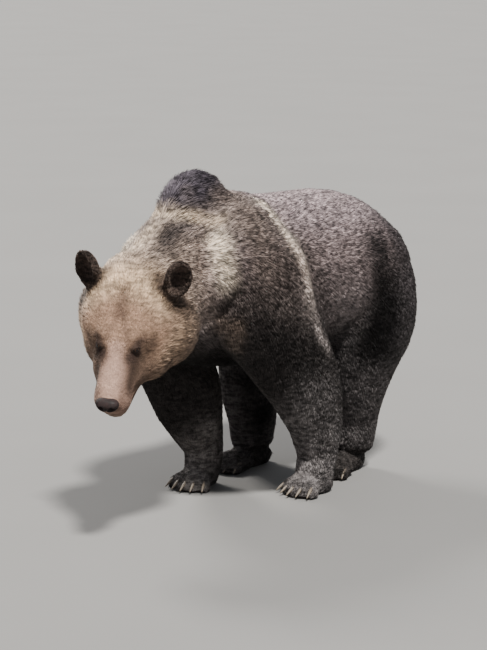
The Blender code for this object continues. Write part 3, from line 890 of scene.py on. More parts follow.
# Swellings and hollows of the face, the same on both sides, in the head's own axes: the middle of
# each, its reach each way and how high it stands
FACE_FORMS = (
    ((0.050, -0.205, -0.022), (0.014, 0.048, 0.022), -0.0060),    # below the eyes
    ((0.034, -0.272, -0.056), (0.016, 0.024, 0.018), 0.0030),     # whisker pads
    ((0.052, -0.118, 0.060), (0.018, 0.018, 0.016), 0.0040),      # brows
    ((0.032, -0.165, 0.032), (0.009, 0.018, 0.014), -0.0045),     # inner corners of the eyes
)


def off_mouth(local):
    """How high each point lies above the line of the mouth."""
    return local[:, 2] - (MOUTH_HEIGHT + MOUTH_SLOPE * (local[:, 1] - MOUTH_FRONT))


def shape_face(local, normals):
    """Moves the skin of the head for the mouth, the lips, the muzzle's bridge and the brows."""
    x, y, z = local.T
    side = np.abs(x)
    moved = np.zeros(len(local))
    above = off_mouth(local)
    along = ramp(y, -0.350, -0.330) * (1 - ramp(y, MOUTH_CORNER - 0.012, MOUTH_CORNER + 0.004))
    moved -= 0.0058 * along * bell(above, 0.0030)                # the slit of the mouth
    moved += 0.0030 * along * bell(above - 0.010, 0.0065)        # upper lip
    moved += 0.0018 * along * bell(above + 0.009, 0.0055)        # lower lip
    # the groove below the nose, the groove of the forehead and the lobes beside it
    moved -= 0.0030 * bell(side, 0.0022) * bell(z + 0.058, 0.020) * ramp(-y, 0.290, 0.305)
    moved -= 0.0050 * bell(side, 0.012) * ramp(z, -0.01, 0.03) * ramp(-y, -0.03, 0.05) * (
        1 - ramp(-y, 0.12, 0.16))
    moved += 0.0035 * bell(side - 0.044, 0.026) * bell(y + 0.030, 0.060) * ramp(z, 0.05, 0.09)
    # the edges and the middle of the muzzle's bridge
    bridge = ramp(-y, 0.150, 0.180) * (1 - ramp(-y, 0.275, 0.300)) * ramp(z, -0.030, 0.000)
    moved += 0.0022 * bridge * bell(side - 0.026, 0.009)
    moved -= 0.0012 * bridge * bell(side, 0.012)
    for at, reach, height in FACE_FORMS:
        moved += height * bell(side - at[0], reach[0]) * bell(y - at[1], reach[1]) * bell(
            z - at[2], reach[2])
    return local + normals * moved[:, None]


def shape_ears(local, normals):
    """Presses the cups of the ears in."""
    for _, side in SIDES:
        cup, rim = ear_parts(local, normals @ np.array(HEAD.to_3x3()).T, side)
        local = local + normals * (0.0020 * rim - 0.0110 * cup)[:, None]
    return local


ROOT_LIGHT = 0.38       # how far the colours at the roots are drawn to those at the tips
COAT_LIGHT = 0.91       # how light the coat is, as a share of the zones' and markings' colours
NOSE_BED = (0.0345, 0.023, 0.0205)      # radii of the bare skin round the nose pad
NOSE_SUNK = 0.0045      # and how deep it lies


def mixed_zones(points, normals, local, shares):
    """The lie of the hair, the sizes and the colours at root and tip, mixed from the zones'."""
    lie = np.zeros_like(points)
    fields = {key: np.zeros(len(points)) for key in ("depth", "length", "width", "lift")}
    root, tip = np.zeros_like(points), np.zeros_like(points)
    total = sum(shares.values())
    for zone, share in shares.items():
        share = share / total
        own = ZONES[zone]
        direction = np.tile(own.lie, (len(points), 1)).astype(float)
        direction[:, 0] *= np.sign((local if own.in_head else points)[:, 0])
        if not own.in_head:
            direction[:, 2] *= 1 - ramp(normals[:, 2], 0.1, 0.7)
        direction = unit(direction)
        lie += share[:, None] * (from_head(direction) if own.in_head else direction)
        for key in fields:
            fields[key] += share * getattr(own, key)
        root += share[:, None] * own.root
        tip += share[:, None] * own.tip
    return lie, fields, root, tip


def combed(lie, points, normals, edges, local, shares):
    """The lie evened out over the skin, led away from the eyes and a little unruly."""
    for _ in range(3):
        lie = blurred(along_skin(lie, normals), edges, 12)
    for _, side in SIDES:
        _, distance, _, ray = opening(local, side)
        lie += 1.6 * bell(distance, 0.024)[:, None] * from_head(ray)
    lie = along_skin(lie, normals)
    swirl = 0.24 * coherent_noise(points, 14) + 0.14 * coherent_noise(points, 40, 5.0)
    swirl *= 1 - 0.75 * shares["muzzle"] - 0.5 * shares["face"]
    return unit(lie + np.cross(normals, lie) * np.tan(swirl)[:, None])


def tint(colours, share, own_colours):
    """Draws the colours at root and tip towards the given ones, by their share at each point."""
    for colour, own in zip(colours, own_colours):
        colour += share[:, None] * (np.array(own) - colour)


def paint(colours, points, local, shares, head):
    """Lays the markings and the painted light and shade over the zones, with ragged edges and, on
    the body, patchily.
    """
    ragged = 0.30 * coherent_noise(points, 45, 12.0) + 0.25 * coherent_noise(points, 110, 4.0)
    patchy = 1 - 0.30 * ramp(coherent_noise(points, 13, 31.0), -0.1, 0.6)
    on_head = (head + 0.5 * shares["neck"] + shares["ear"]).clip(0, 1)
    for mark in MARKS_AND_PAINTED_LIGHT:
        away = off_line(mirrored(local if mark.in_head else points), mark.line) / mark.reach
        edge = ragged * ramp(away, 0.2, 1.0) * (0.4 if mark.in_head else 1.0)
        share = mark.share * np.exp(-(np.maximum(away + edge, 0) ** 2.6))
        share = share * on_head if mark.in_head else (share * patchy).clip(0, 1) * (1 - head)
        tint(colours, share, (mark.root, mark.tip))


def bare_skin(local, head, sole, nose):
    """How bare each point is of hair, and how near to an eye it lies."""
    bare, eyes = np.zeros(len(local)), np.zeros(len(local))
    for _, side in SIDES:
        out, distance, _, _ = opening(local, side)
        eyes = np.maximum(eyes, bell(distance, 0.022))
        bare = np.maximum(bare, (1 - ramp(out, 1.12, 1.34)) * (distance < 0.020))
    mouth = 0.85 * bell(off_mouth(local), 0.0030) * ramp(local[:, 1], -0.345, -0.325) * (
        1 - ramp(local[:, 1], MOUTH_CORNER - 0.006, MOUTH_CORNER + 0.006)) * head
    return np.clip(np.maximum.reduce([bare, mouth, nose * head, sole]), 0, 1), eyes


def coat_fields(mesh, settings):
    """Stores the lie, the sizes and the colours of the coat on the skin, and sinks the skin."""
    points, normals, edges = points_of(mesh), normals_of(mesh), edges_of(mesh)
    local = to_head(points)
    shares = {zone: read(mesh, f"zone_{zone}") for zone in ORDER}
    head = shares["face"].copy()
    for zone, part in head_shares(local).items():
        shares[zone] = head * part
    lie, fields, root, tip = mixed_zones(points, normals, local, shares)
    lie = combed(lie, points, normals, edges, local, shares)

    paint((root, tip), points, local, shares, head)
    for _, side in SIDES:
        cup, rim = ear_parts(local, normals, side)
        tint((root, tip), rim * shares["ear"].clip(0, 1), EAR_RIM)
        tint((root, tip), cup * shares["ear"].clip(0, 1), EAR_INSIDE)
        fields["length"] *= 1 + 0.30 * cup * shares["ear"]
    mottle = 1 + 0.16 * coherent_noise(points, 22, 9.0) + 0.10 * coherent_noise(points, 60, 3.0)
    mottle = 1 + (mottle - 1) * (1 - 0.6 * shares["muzzle"])
    root += ROOT_LIGHT * (tip - root)
    # stronger colour on the head, and greyer legs
    strength = 0.20 * head - 0.42 * (1 - head) * (1 - ramp(points[:, 2], 0.45, 0.85))
    for colour in (root, tip):
        colour *= COAT_LIGHT * mottle[:, None]
        colour += strength[:, None] * (colour - colour.mean(1, keepdims=True))

    sole = 1 - ramp(points[:, 2], 0.001, 0.012)
    nose = 1 - ramp(np.linalg.norm((local - NOSE_SEAT) / NOSE_BED, axis=1), 0.95, 1.06)
    bare, eyes = bare_skin(local, head, sole, nose)
    depth = settings.depth * fields["depth"] * (1 - sole)
    depth = blurred(depth * (1 - 0.7 * eyes), edges, 4)
    fields["length"] *= 1 - 0.45 * eyes
    swollen = sum(
        each.height * bell(off_line(mirrored(points), each.line), each.reach) for each in SWELLINGS
    )
    depth = depth * (1 - nose * head) + NOSE_SUNK * nose * head - swollen * (1 - head)
    set_points(mesh, points - normals * depth[:, None])

    sizes = fields["length"], fields["width"], np.radians(fields["lift"])
    # the share of the ripples' painted light and shade rides on the colours' fourth value
    ripple_shade = 1 - 0.85 * shares["muzzle"] - 0.65 * shares["face"] - 0.4 * shares["crown"]
    for name, kind, values in (
        ("lie", "FLOAT_VECTOR", lie),
        ("tuft", "FLOAT_VECTOR", np.stack(sizes, 1)),
        ("thick", "FLOAT", (bare < 0.35) * 1.0),
        ("bare", "FLOAT", bare),
        ("coat_root", "FLOAT_COLOR", np.hstack([root.clip(0, 1), ripple_shade.clip(0, 1)[:, None]])),
        ("coat_tip", "FLOAT_COLOR", np.hstack([tip.clip(0, 1), ripple_shade.clip(0, 1)[:, None]])),
    ):
        write(mesh, name, kind, values)


def build_skin(settings):
    mesh = fused_flesh(settings.cell)
    smoothed(mesh, settings.rounds)
    zone_shares(mesh)
    refine_head(mesh)
    coat_fields(mesh, settings)
    points = points_of(mesh)
    local = to_head(points)
    near = np.linalg.norm(local - [0, -0.10, 0], axis=1) < 0.32
    turned = normals_of(mesh) @ np.array(HEAD.to_3x3())
    here = (read(mesh, "zone_face") > 0.2)[:, None]
    shaped = np.where(here, shape_face(local, turned), shape_ears(local, turned))
    for _, side in SIDES:
        shaped = shape_lids(shaped, side)
    turn, place = head_axes()
    points[near] = (shaped @ turn.T + place)[near]
    set_points(mesh, points)
    mesh.shade_smooth()
    return new_object("skin", mesh)


# ------------------------------------------------------------------ finishes


def new_material(name, plain):
    """A material with its shader's plain values set, its graph and its Principled shader."""
    material = bpy.data.materials.new(name)
    material.use_nodes = True
    graph = Graph(material.node_tree)
    shader = material.node_tree.nodes["Principled BSDF"]
    graph.put(shader, plain)
    return material, graph, shader


SHEEN = 0.17            # specular level of hair and skin
# bands of painted light and shade across the coat's ripples: how many to the metre, and how
# strongly they lighten and darken
RIPPLE_SHADE_SCALE = (42.0, 42.0, 105.0)   # ripples to the metre: longer along the body than they are high
RIPPLE_SHADE_STRENGTH = 1.2


def hair_group():
    """Colour and relief of hair: streaks along a strand; darker at its root, partly its own tone
    and partly painted shade deep in the coat; and bands of painted light and shade across the
    coat's ripples.
    """
    tree, g, given, result = new_tree(
        "hair", "ShaderNodeTree",
        [("Root", "Color"), ("Tip", "Color"), ("Strand", "Vector"), ("Streaks", "Float", 0.4),
         ("Variety", "Float", 0.35), ("Ripple", "Float", 0.0)],
        [("Colour", "Color"), ("Height", "Float")],
    )
    across, along, fate = g.parts(given["Strand"])
    streak = g.noise(g.vector(across * 2.2 + fate * 57.0, along * 0.8, fate * 113.0), 1.0, 2.0)
    # darker towards the root: partly the hair's own grizzle, partly painted shade deep in the coat
    colour = g.mix(g.ramp(along, 0.05, 0.95), given["Root"], given["Tip"])
    light = (streak - 0.5) * given["Streaks"] + (fate - 0.5) * given["Variety"]
    # painted light and shade of the coat's ripples: bands that lighten and darken the hair
    wave = g.noise(g.place() * RIPPLE_SHADE_SCALE, 1.0, 2.0, Distortion=0.6)
    wave = (g.ramp(wave, 0.28, 0.72) - 0.5) * given["Ripple"]
    light = (light + 1.0) * (wave + 1.0)
    colour = g.mix(1.0, colour, g.vector(light, light, light), "MULTIPLY")
    g.put(result, {"Colour": colour, "Height": streak})
    return tree


def hair_node(g, hair, strand, more=None):
    """The hair's colour and relief over the skin's stored colours."""
    node = g.add("ShaderNodeGroup", node_tree=hair)
    g.put(node, {
        "Root": g.field("coat_root"), "Tip": g.field("coat_tip"), "Strand": strand,
        "Ripple": g.field("coat_tip", "Alpha") * RIPPLE_SHADE_STRENGTH, **(more or {}),
    })
    return g.out(node, "Colour"), g.out(node, "Height")


def coat_material(hair):
    material, g, shader = new_material("coat", {"Roughness": 0.6, "Specular IOR Level": SHEEN})
    strand = g.field("strand", "Vector")
    colour, height = hair_node(g, hair, strand, {"Streaks": 0.45, "Variety": 0.40})
    g.put(shader, {"Base Color": colour, "Normal": g.relief(height, 0.25, 0.002)})
    return material


def skin_material(hair):
    """Short hair over the whole skin, and bare dark skin on lips, lids, nose and soles."""
    material, g, shader = new_material("skin", {"Specular IOR Level": SHEEN})
    fine, broad = g.noise(g.place(), 420.0, 3.0), g.noise(g.place(), 60.0, 2.0)
    colour, _ = hair_node(g, hair, g.vector(fine, fine * 0.9, broad))
    bare = g.field("bare", "Fac")
    g.put(shader, {
        "Base Color": g.mix(g.ramp(bare, 0.25, 0.6), colour, (0.012, 0.0085, 0.0075, 1.0)),
        "Normal": g.relief(fine + g.pebbles(520.0) * 0.4, 0.5, 0.0015),
        "Roughness": 0.75 - bare * 0.15,
    })
    return material


def nose_material(settings):
    """Dark, moist, pebbled skin."""
    material, g, shader = new_material(
        "nose_skin", {"Specular IOR Level": 0.24, "Coat Weight": 0.04, "Coat Roughness": 0.35},
    )
    mottle = g.noise(g.place(), 90.0, 4.0)
    dark, pale = ((*(share * c for c in settings.colour), 1) for share in (0.55, 1.9))
    g.put(shader, {
        "Base Color": g.mix(g.ramp(mottle, 0.3, 0.75), dark, pale),
        "Normal": g.relief(g.pebbles(620.0), 0.6, 0.0012, invert=True),
        "Roughness": g.ramp(mottle, -1.0, 1.3),
    })
    return material


def eye_material(settings):
    """A dark brown iris with fine rays round a black pupil, under a wet clear coat."""
    material, g, shader = new_material("eye", {
        "Roughness": 0.35, "Specular IOR Level": 0.15, "Coat Weight": 0.35, "Coat Roughness": 0.04,
    })
    angle, turn = g.field("from_gaze", "Fac"), g.field("round_gaze", "Fac")
    rays = g.noise(g.vector(turn * 14.0, angle * 3.0, 0.0), 1.0, 3.0)
    iris = (*settings.iris, 1)
    light = (*(min(1, 2.4 * c) for c in settings.iris), 1)
    colour = g.mix(g.ramp(rays, 0.35, 0.7), iris, light)
    pupil = g.ramp(angle, settings.pupil, settings.pupil + 0.05)
    colour = g.mix(pupil, (0.002, 0.0015, 0.0015, 1), colour)
    # the iris's rim, and the eyeball round it
    colour = g.mix(g.ramp(angle, 0.58, 0.68), colour, (0.006, 0.004, 0.003, 1))
    colour = g.mix(g.ramp(angle, 0.85, 1.1), colour, (0.010, 0.0065, 0.0055, 1))
    g.put(shader, {"Base Color": colour})
    return material


def claw_material(settings):
    """Horn, dark at the root and paler to the tip, with fine lengthwise ridges."""
    material, g, shader = new_material("claw_horn", {})
    along, turn, fate = g.parts(g.field("horn", "Vector"))
    ridges = g.noise(g.vector(turn * 5.0, along * 1.2, fate), 3.0, 3.0)
    share = g.ramp(along + (ridges - 0.5) * 0.8, 0.05, 0.75)
    g.put(shader, {
        "Base Color": g.mix(share, (*settings.root, 1), (*settings.horn, 1)),
        "Normal": g.relief(ridges, 0.3, 0.0008),
        "Roughness": g.ramp(ridges, -0.8, 1.8),
    })
    return material


# ------------------------------------------------------------------ the coat


def tuft_object(rings):
    """One tuft of unit length along +Z, pointed at both ends and three-sided between, with its
    ridge to +Y. It carries how far along and across each point lies."""
    bm = bmesh.new()
    along = bm.verts.layers.float.new("along")
    across = bm.verts.layers.float.new("across")

    def point(x, y, height):
        vert = bm.verts.new((x, y, height))
        vert[along] = max(height, 0.0)
        vert[across] = max(-1.0, min(1.0, 2 * x))
        return vert

    root, tip = point(0, 0, TUFT_ROOT), point(0, 0, 1)
    loops = [
        [point(x * width, y * width, height) for x, y in TUFT_SIDES] for height, width in rings
    ]
    for k in range(3):
        bm.faces.new((loops[0][(k + 1) % 3], loops[0][k], root))
        bm.faces.new((loops[-1][k], loops[-1][(k + 1) % 3], tip))
        for lower, upper in zip(loops, loops[1:]):
            bm.faces.new((lower[k], lower[(k + 1) % 3], upper[(k + 1) % 3], upper[k]))
    bmesh.ops.triangulate(bm, faces=bm.faces)
    bmesh.ops.recalc_face_normals(bm, faces=bm.faces)
    return new_object("tuft", smooth_mesh(bm, "tuft"))


# The corners of a tuft's section at unit width, how far its root reaches below the skin, and the
# height and width of each of its rings
TUFT_SIDES = ((-0.5, -0.30), (0.5, -0.30), (0.0, 0.70))
TUFT_ROOT = -0.08
SHORT_TUFT = ((0.30, 1.0),)
LONG_TUFT = ((0.20, 1.0), (0.58, 0.74))
# The pieces of the coat: the slot of each, which solids' skin it covers, where on it (p is a point
# in the world and q the same in the head's own axes), the spacing of its tufts and of its locks,
# and its tufts' outline
Piece = namedtuple("Piece", "slot nodes where spacing locks tuft", defaults=[SHORT_TUFT])
MUZZLE_BACK, FACE_BACK = -0.145, -0.02    # in the head's own axes
WITHERS_BACK = 0.06
COAT = {
    "coat_muzzle": Piece("face_coat", SKULL, lambda p, q: q[1] < MUZZLE_BACK, 0.0017, 0.0060),
    "coat_face": Piece(
        "face_coat", SKULL, lambda p, q: MUZZLE_BACK <= q[1] < FACE_BACK, 0.0020, 0.0075),
    "coat_head_back": Piece("face_coat", SKULL, lambda p, q: q[1] >= FACE_BACK, 0.0023, 0.0095),
    "coat_ears": Piece("dark_coat", ("ear_left", "ear_right"), None, 0.0019, 0.0070),
    "coat_neck": Piece("coat", ("neck",), None, 0.0029, 0.012, LONG_TUFT),
    "coat_withers": Piece("coat", ("trunk",), lambda p, q: p[1] < WITHERS_BACK, 0.0030, 0.012),
    "coat_left_side": Piece(
        "coat", ("trunk",), lambda p, q: p[1] >= WITHERS_BACK and p[0] >= 0, 0.0029, 0.012),
    "coat_right_side": Piece(
        "coat", ("trunk", "tail"), lambda p, q: p[1] >= WITHERS_BACK and p[0] < 0, 0.0029, 0.012),
    **{
        f"coat_{side}_{leg}": Piece(
            "dark_coat", tuple(f"{leg}_{side}_{part}" for part in parts), None, 0.0030, 0.011)
        for leg, parts in LEGS.items() for side, _ in SIDES
    },
    "coat_paws": Piece("dark_coat", PAWS, None, 0.0026, 0.008),
}
FLOOR_EASE = 0.006      # the ends of tufts below this are eased down to the floor and stop there


def tuft_tree():
    """The tree that grows tufts on a piece of skin, along its stored lie and sizes."""
    sizes = ("Spacing", "Lock Spacing", "Length", "Droop", "Lock", "Wave")
    tree, g, given, result = new_tree(
        "coat_tufts", "GeometryNodeTree",
        [("Geometry", "Geometry"), ("Tuft", "Object"), ("Material", "Material"),
         *((name, "Float") for name in sizes), ("Seed", "Int")],
        [("Geometry", "Geometry")],
    )

    def scattered(gap, seed, factor):
        """Points no nearer to each other than the gap, and the skin's normals there."""
        node = g.add(
            "GeometryNodeDistributePointsOnFaces",
            {"Mesh": given["Geometry"], "Distance Min": gap, "Density Max": 2.2 / (gap * gap),
             "Density Factor": factor, "Seed": seed},
            distribute_method="POISSON",
        )
        return g.out(node, "Points"), g.out(node, "Normal")

    def between(low, high, salt):
        values = {"Min": low, "Max": high, "Seed": salt}
        return g.value("FunctionNodeRandomValue", values, "Value", data_type="FLOAT")

    points, normal = scattered(given["Spacing"], given["Seed"], g.named("thick"))
    locks, _ = scattered(given["Lock Spacing"], given["Seed"] + 1.0, 1.0)
    place = g.value("GeometryNodeInputPosition")
    nearest = g.value("GeometryNodeSampleNearest", {"Geometry": locks}, domain="POINT")
    centre = g.value(
        "GeometryNodeSampleIndex", {"Geometry": locks, "Value": place, "Index": nearest},
        data_type="FLOAT_VECTOR", domain="POINT",
    )
    length, width, lift = g.parts(g.named("tuft", "FLOAT_VECTOR"))
    length = length * given["Length"] * between(0.72, 1.22, 12)
    width = width * between(0.65, 1.35, 13)
    lift = lift * between(0.55, 1.35, 14)
    for name, value, kind in (
        ("to_lock", centre - place, "FLOAT_VECTOR"),
        ("root_up", normal, "FLOAT_VECTOR"),
        ("root_uv", g.named("unwrap", "FLOAT_VECTOR"), "FLOAT_VECTOR"),
        ("fate", between(0.0, 1.0, 11), "FLOAT"),
        ("sway", g.noise(place, 24.0, 1.0) * 16.0, "FLOAT"),
        ("rise", length * g.maths("SINE", lift), "FLOAT"),
        ("reach", length, "FLOAT"),
    ):
        points = g.store(points, name, value, kind)
    lie, up = g.named("lie", "FLOAT_VECTOR"), g.named("root_up", "FLOAT_VECTOR")
    heading = lie * g.maths("COSINE", lift) + up * g.maths("SINE", lift)
    turn = g.value(
        "FunctionNodeAxesToRotation", {"Primary Axis": heading, "Secondary Axis": up},
        primary_axis="Z", secondary_axis="Y",
    )
    grown = g.value("GeometryNodeInstanceOnPoints", {
        "Points": points, "Rotation": turn, "Scale": g.vector(width, width * 0.6, length),
        "Instance": g.value("GeometryNodeObjectInfo", {"Object": given["Tuft"]}, "Geometry"),
    })
    solid = g.value("GeometryNodeRealizeInstances", {"Geometry": grown})

    along, across = g.named("along"), g.named("across")
    drop = g.named("rise") * given["Droop"] * along ** 2.0
    pull = given["Lock"] * along ** 1.3
    # the tips of a lock draw level more than they draw together, which makes ripples across the lie
    to_lock = g.named("to_lock", "FLOAT_VECTOR")
    level = lie * (g.maths("DOT_PRODUCT", to_lock, lie) * (pull * 0.6))
    gathered = level + to_lock * (pull * 0.7)
    swing = g.maths("SINE", along * 5.0 + g.named("sway")) * given["Wave"]
    swing = swing * along * g.named("reach")
    aside = g.maths("CROSS_PRODUCT", up, lie) * swing
    x, y, z = g.parts(place + (up * (drop * -1.0) + (gathered + aside)))
    below = g.maths("MINIMUM", z, FLOOR_EASE) - FLOOR_EASE
    eased = g.maths("EXPONENT", below / FLOOR_EASE) * FLOOR_EASE
    z = g.maths("MAXIMUM", z - FLOOR_EASE, 0.0) + eased
    bent = g.value("GeometryNodeSetPosition", {"Geometry": solid, "Position": g.vector(x, y, z)})
    bent = g.store(bent, "strand", g.vector(across, along, g.named("fate")), "FLOAT_VECTOR")
    patch = g.vector(across * (PATCH / 2), (along - 0.5) * PATCH, 0.0)
    place_on_unwrap = g.named("root_uv", "FLOAT_VECTOR") + patch
    bent = g.store(bent, UNWRAP, place_on_unwrap, "FLOAT2", "CORNER")
    values = {"Geometry": bent, "Material": given["Material"]}
    g.put(result, {"Geometry": g.value("GeometryNodeSetMaterial", values)})
    return tree


def cut_from_skin(name, piece):
    """The part of the skin that one piece of the coat grows on, as an object of its own."""
    skin = bpy.data.objects["skin"].data
    points = points_of(skin)
    local = to_head(points)
    nearest = read(skin, "nearest").round().astype(int)
    wanted = [FLESH.index(node) for node in piece.nodes]

    def covered(i):
        return nearest[i] in wanted and (piece.where is None or piece.where(points[i], local[i]))

    bm = bmesh.new()
    bm.from_mesh(skin)
    others = [face for face in bm.faces if not covered(face.verts[0].index)]
    bmesh.ops.delete(bm, geom=others, context="FACES")
    ground = new_object(name, mesh_from(bm, name))
    unwrap(ground, "unwrap")
    return ground


def grow_coat(name, piece, tree, material, settings, seed):
    """One piece of the coat, as a plain mesh of solid tufts."""
    ground = cut_from_skin(f"{name}_ground", piece)
    tuft = tuft_object(piece.tuft)
    modifier = ground.modifiers.new("Grow", "NODES")
    modifier.node_group = tree
    inputs = {
        "Tuft": tuft, "Material": material, "Spacing": piece.spacing, "Lock Spacing": piece.locks,
        "Length": settings.length, "Droop": settings.droop, "Lock": settings.lock,
        "Wave": settings.wave, "Seed": seed,
    }
    for socket in tree.interface.items_tree:
        if socket.in_out == "INPUT" and socket.name in inputs:
            modifier[socket.identifier] = inputs[socket.name]
    mesh = evaluated_mesh(ground)
    for spare in (ground, tuft):
        bpy.data.objects.remove(spare)
    kept = {"strand", "coat_root", "coat_tip", UNWRAP}
    for field in [a.name for a in mesh.attributes if not a.is_internal and not a.is_required]:
        if field not in kept:
            mesh.attributes.remove(mesh.attributes[field])
    return new_object(name, mesh)


# ------------------------------------------------------------------ eyes, nose and claws


CORNEA_RISE = 0.07      # how far the cornea bulges, as a share of the ball's radius
CORNEA_ANGLE = 0.72     # and its half angle, seen from the ball's middle
NOSE_HALF = Vector((0.034, 0.0205, 0.0192))
NOSE_SQUARENESS = 0.80  # power that fills out the nose pad's corners
NOSTRIL_TAIL = 0.0135   # where the nostrils' tails start, from the middle
CLAW_ARCH = 0.16        # height of a claw's arch, as a share of its length


def eye_mesh(side):
    """An eyeball with a raised cornea, its poles along the gaze."""
    seat, gaze = eye_axes(side)
    bm = bmesh.new()
    bmesh.ops.create_uvsphere(bm, u_segments=48, v_segments=40, radius=EYE_RADIUS)
    angle = bm.verts.layers.float.new("from_gaze")
    turn = bm.verts.layers.float.new("round_gaze")
    for vert in bm.verts:
        vert[angle] = vert.co.angle(Vector((0, 0, 1)))
        vert[turn] = math.atan2(vert.co.y, vert.co.x)
        vert.co *= 1 + CORNEA_RISE * max(0.0, 1 - (vert[angle] / CORNEA_ANGLE) ** 2)
    place = HEAD @ Matrix.Translation(seat) @ gaze.to_track_quat("Z", "Y").to_matrix().to_4x4()
    bmesh.ops.transform(bm, matrix=place, verts=bm.verts)
    return smooth_mesh(bm, f"eyeball_{side}")


def nose_mesh():
    """The nose pad: broad above, narrower below, with comma-shaped nostrils and a middle groove."""
    bm = bmesh.new()
    bmesh.ops.create_uvsphere(bm, u_segments=160, v_segments=100, radius=1.0)
    bmesh.ops.rotate(bm, verts=bm.verts, matrix=Matrix.Rotation(math.radians(90), 3, "X"))
    for vert in bm.verts:
        x, y, z = vert.co
        x, z = (math.copysign(abs(v) ** NOSE_SQUARENESS, v) for v in (x, z))
        x *= 1.0 + 0.16 * z
        point = Vector((x * NOSE_HALF.x, y * NOSE_HALF.y, z * NOSE_HALF.z))
        front = max(0.0, -y) ** 0.5
        aside = abs(point.x)
        hole = math.hypot((aside - 0.0142) / 0.0074, (point.z - 0.001) / 0.0072)
        rim = 0.0012 * math.exp(-((hole - 1.5) ** 2) * 6)
        # the nostril's tail runs outwards and a little up
        tail_at = min(max(aside, NOSTRIL_TAIL), 0.030)
        rise = 0.30 * (tail_at - NOSTRIL_TAIL)
        tail = math.hypot((aside - tail_at) / 0.004, (point.z + 0.002 - rise) / 0.0040)
        pit = 0.0120 * math.exp(-(hole**3)) + 0.0050 * math.exp(-(tail**2)) * (aside > NOSTRIL_TAIL)
        groove = 0.0024 * math.exp(-((point.x / 0.0020) ** 2)) * (1.0 if point.z < 0.006 else 0.4)
        point.y += front * (pit - rim + groove)
        vert.co = NOSE_SEAT + point - Vector((0, 0, 0.0015))
    bmesh.ops.transform(bm, matrix=HEAD, verts=bm.verts)
    return smooth_mesh(bm, "nose_pad")


def claw_ends(node, paw_middle):
    """The root and the tip of a solid claw: its points nearest to and furthest from the paw."""
    corners = [v.co.copy() for v in NODES[node].data.vertices]
    corners.sort(key=lambda corner: (corner - paw_middle).length)
    few = max(3, len(corners) // 8)
    return [sum(some, Vector()) / few for some in (corners[:few], corners[-few:])]


def claw_mesh(paw):
    """The five claws of a paw: curved, tapering, deeper than wide and ridged above."""
    paw_middle = middle(paw)
    paw_middle.z = 0.03
    bm = bmesh.new()
    horn = bm.verts.layers.float_vector.new("horn")
    steps, sides = 14, 16
    for toe in range(TOES):
        root, tip = claw_ends(f"claw_{paw}_{toe + 1}", paw_middle)
        run = (tip - root) * 0.90
        rise = CLAW_ARCH * run.length * 4
        across = run.cross(Vector((0, 0, 1))).normalized()
        loops = []
        for step in range(steps):
            t = step / (steps - 1)
            centre = root + run * t + Vector((0, 0, rise * t * (1 - t) * (1 - 0.3 * t)))
            width = 0.0060 * (1 - t**1.8) + 0.0012
            depth = 0.0080 * (1 - t**1.6) + 0.0014
            slope = (run + Vector((0, 0, rise * (1 - 2 * t)))).normalized()
            upward = across.cross(slope).normalized()
            loops.append([])
            for k in range(sides):
                turn = math.tau * k / sides
                ridge = 1 - 0.10 * math.sin(turn) ** 8
                aside = across * width * math.cos(turn) * ridge
                vert = bm.verts.new(centre + aside - upward * depth * math.sin(turn))
                vert[horn] = (t, turn, toe)
                loops[-1].append(vert)
        for lower, upper in zip(loops, loops[1:]):
            for k in range(sides):
                bm.faces.new((lower[k], lower[k - 1], upper[k - 1], upper[k]))
        bm.faces.new(loops[0])
        bm.faces.new(reversed(loops[-1]))
    bmesh.ops.recalc_face_normals(bm, faces=bm.faces)
    return smooth_mesh(bm, f"claws_{paw}")


# ------------------------------------------------------------------ the stage


def aimed(obj, at):
    obj.rotation_euler = (at - obj.location).to_track_quat("-Z", "Y").to_euler()


def towards(azimuth, elevation):
    """The way to a place round the bear, from its front towards its left and up."""
    flat = math.cos(elevation)
    return Vector((math.sin(azimuth) * flat, -math.cos(azimuth) * flat, math.sin(elevation)))


def sunlight(name, azimuth, elevation, strength, spread, colour):
    """A light that is the same all over the floor, from a direction given in degrees up."""
    light = bpy.data.lights.new(name, "SUN")
    light.energy = strength
    light.angle = spread
    light.color = colour
    obj = new_object(name, light)
    obj.location = towards(azimuth, math.radians(elevation)) * 5
    aimed(obj, Vector())


def floor_object():
    bm = bmesh.new()
    bmesh.ops.create_circle(bm, cap_ends=True, segments=96, radius=150.0)
    floor = new_object("floor", mesh_from(bm, "floor"))
    material, g, shader = new_material("floor", {"Roughness": 0.8})
    cloud = g.noise(g.place(), 1.2, 2.0)
    colour = g.mix(cloud, (0.17, 0.167, 0.162, 1), (0.19, 0.187, 0.182, 1))
    g.put(shader, {"Base Color": colour})
    floor.data.materials.append(material)
    return floor


# ------------------------------------------------------------------ operators


def dressed(obj, material, slot, *nodes):
    """Gives a finished piece its material, hangs it on the root's empty and hides the solids it
    stands for.
    """
    obj.data.materials.clear()
    obj.data.materials.append(material)
    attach(obj, "root")
    if nodes:
        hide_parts(*nodes)


class BEAR_OT_skin(Operator):
    """Build the skin, with its lids, lips and brows, in place of the solids' flesh"""

    bl_idname = "bear.skin"
    bl_label = "Skin"

    def execute(self, context):
        skin = build_skin(context.scene.bear.skin)
        unwrap(skin, UNWRAP)
        dressed(skin, skin_material(hair_group()), "coat", *FLESH)
        return {"FINISHED"}


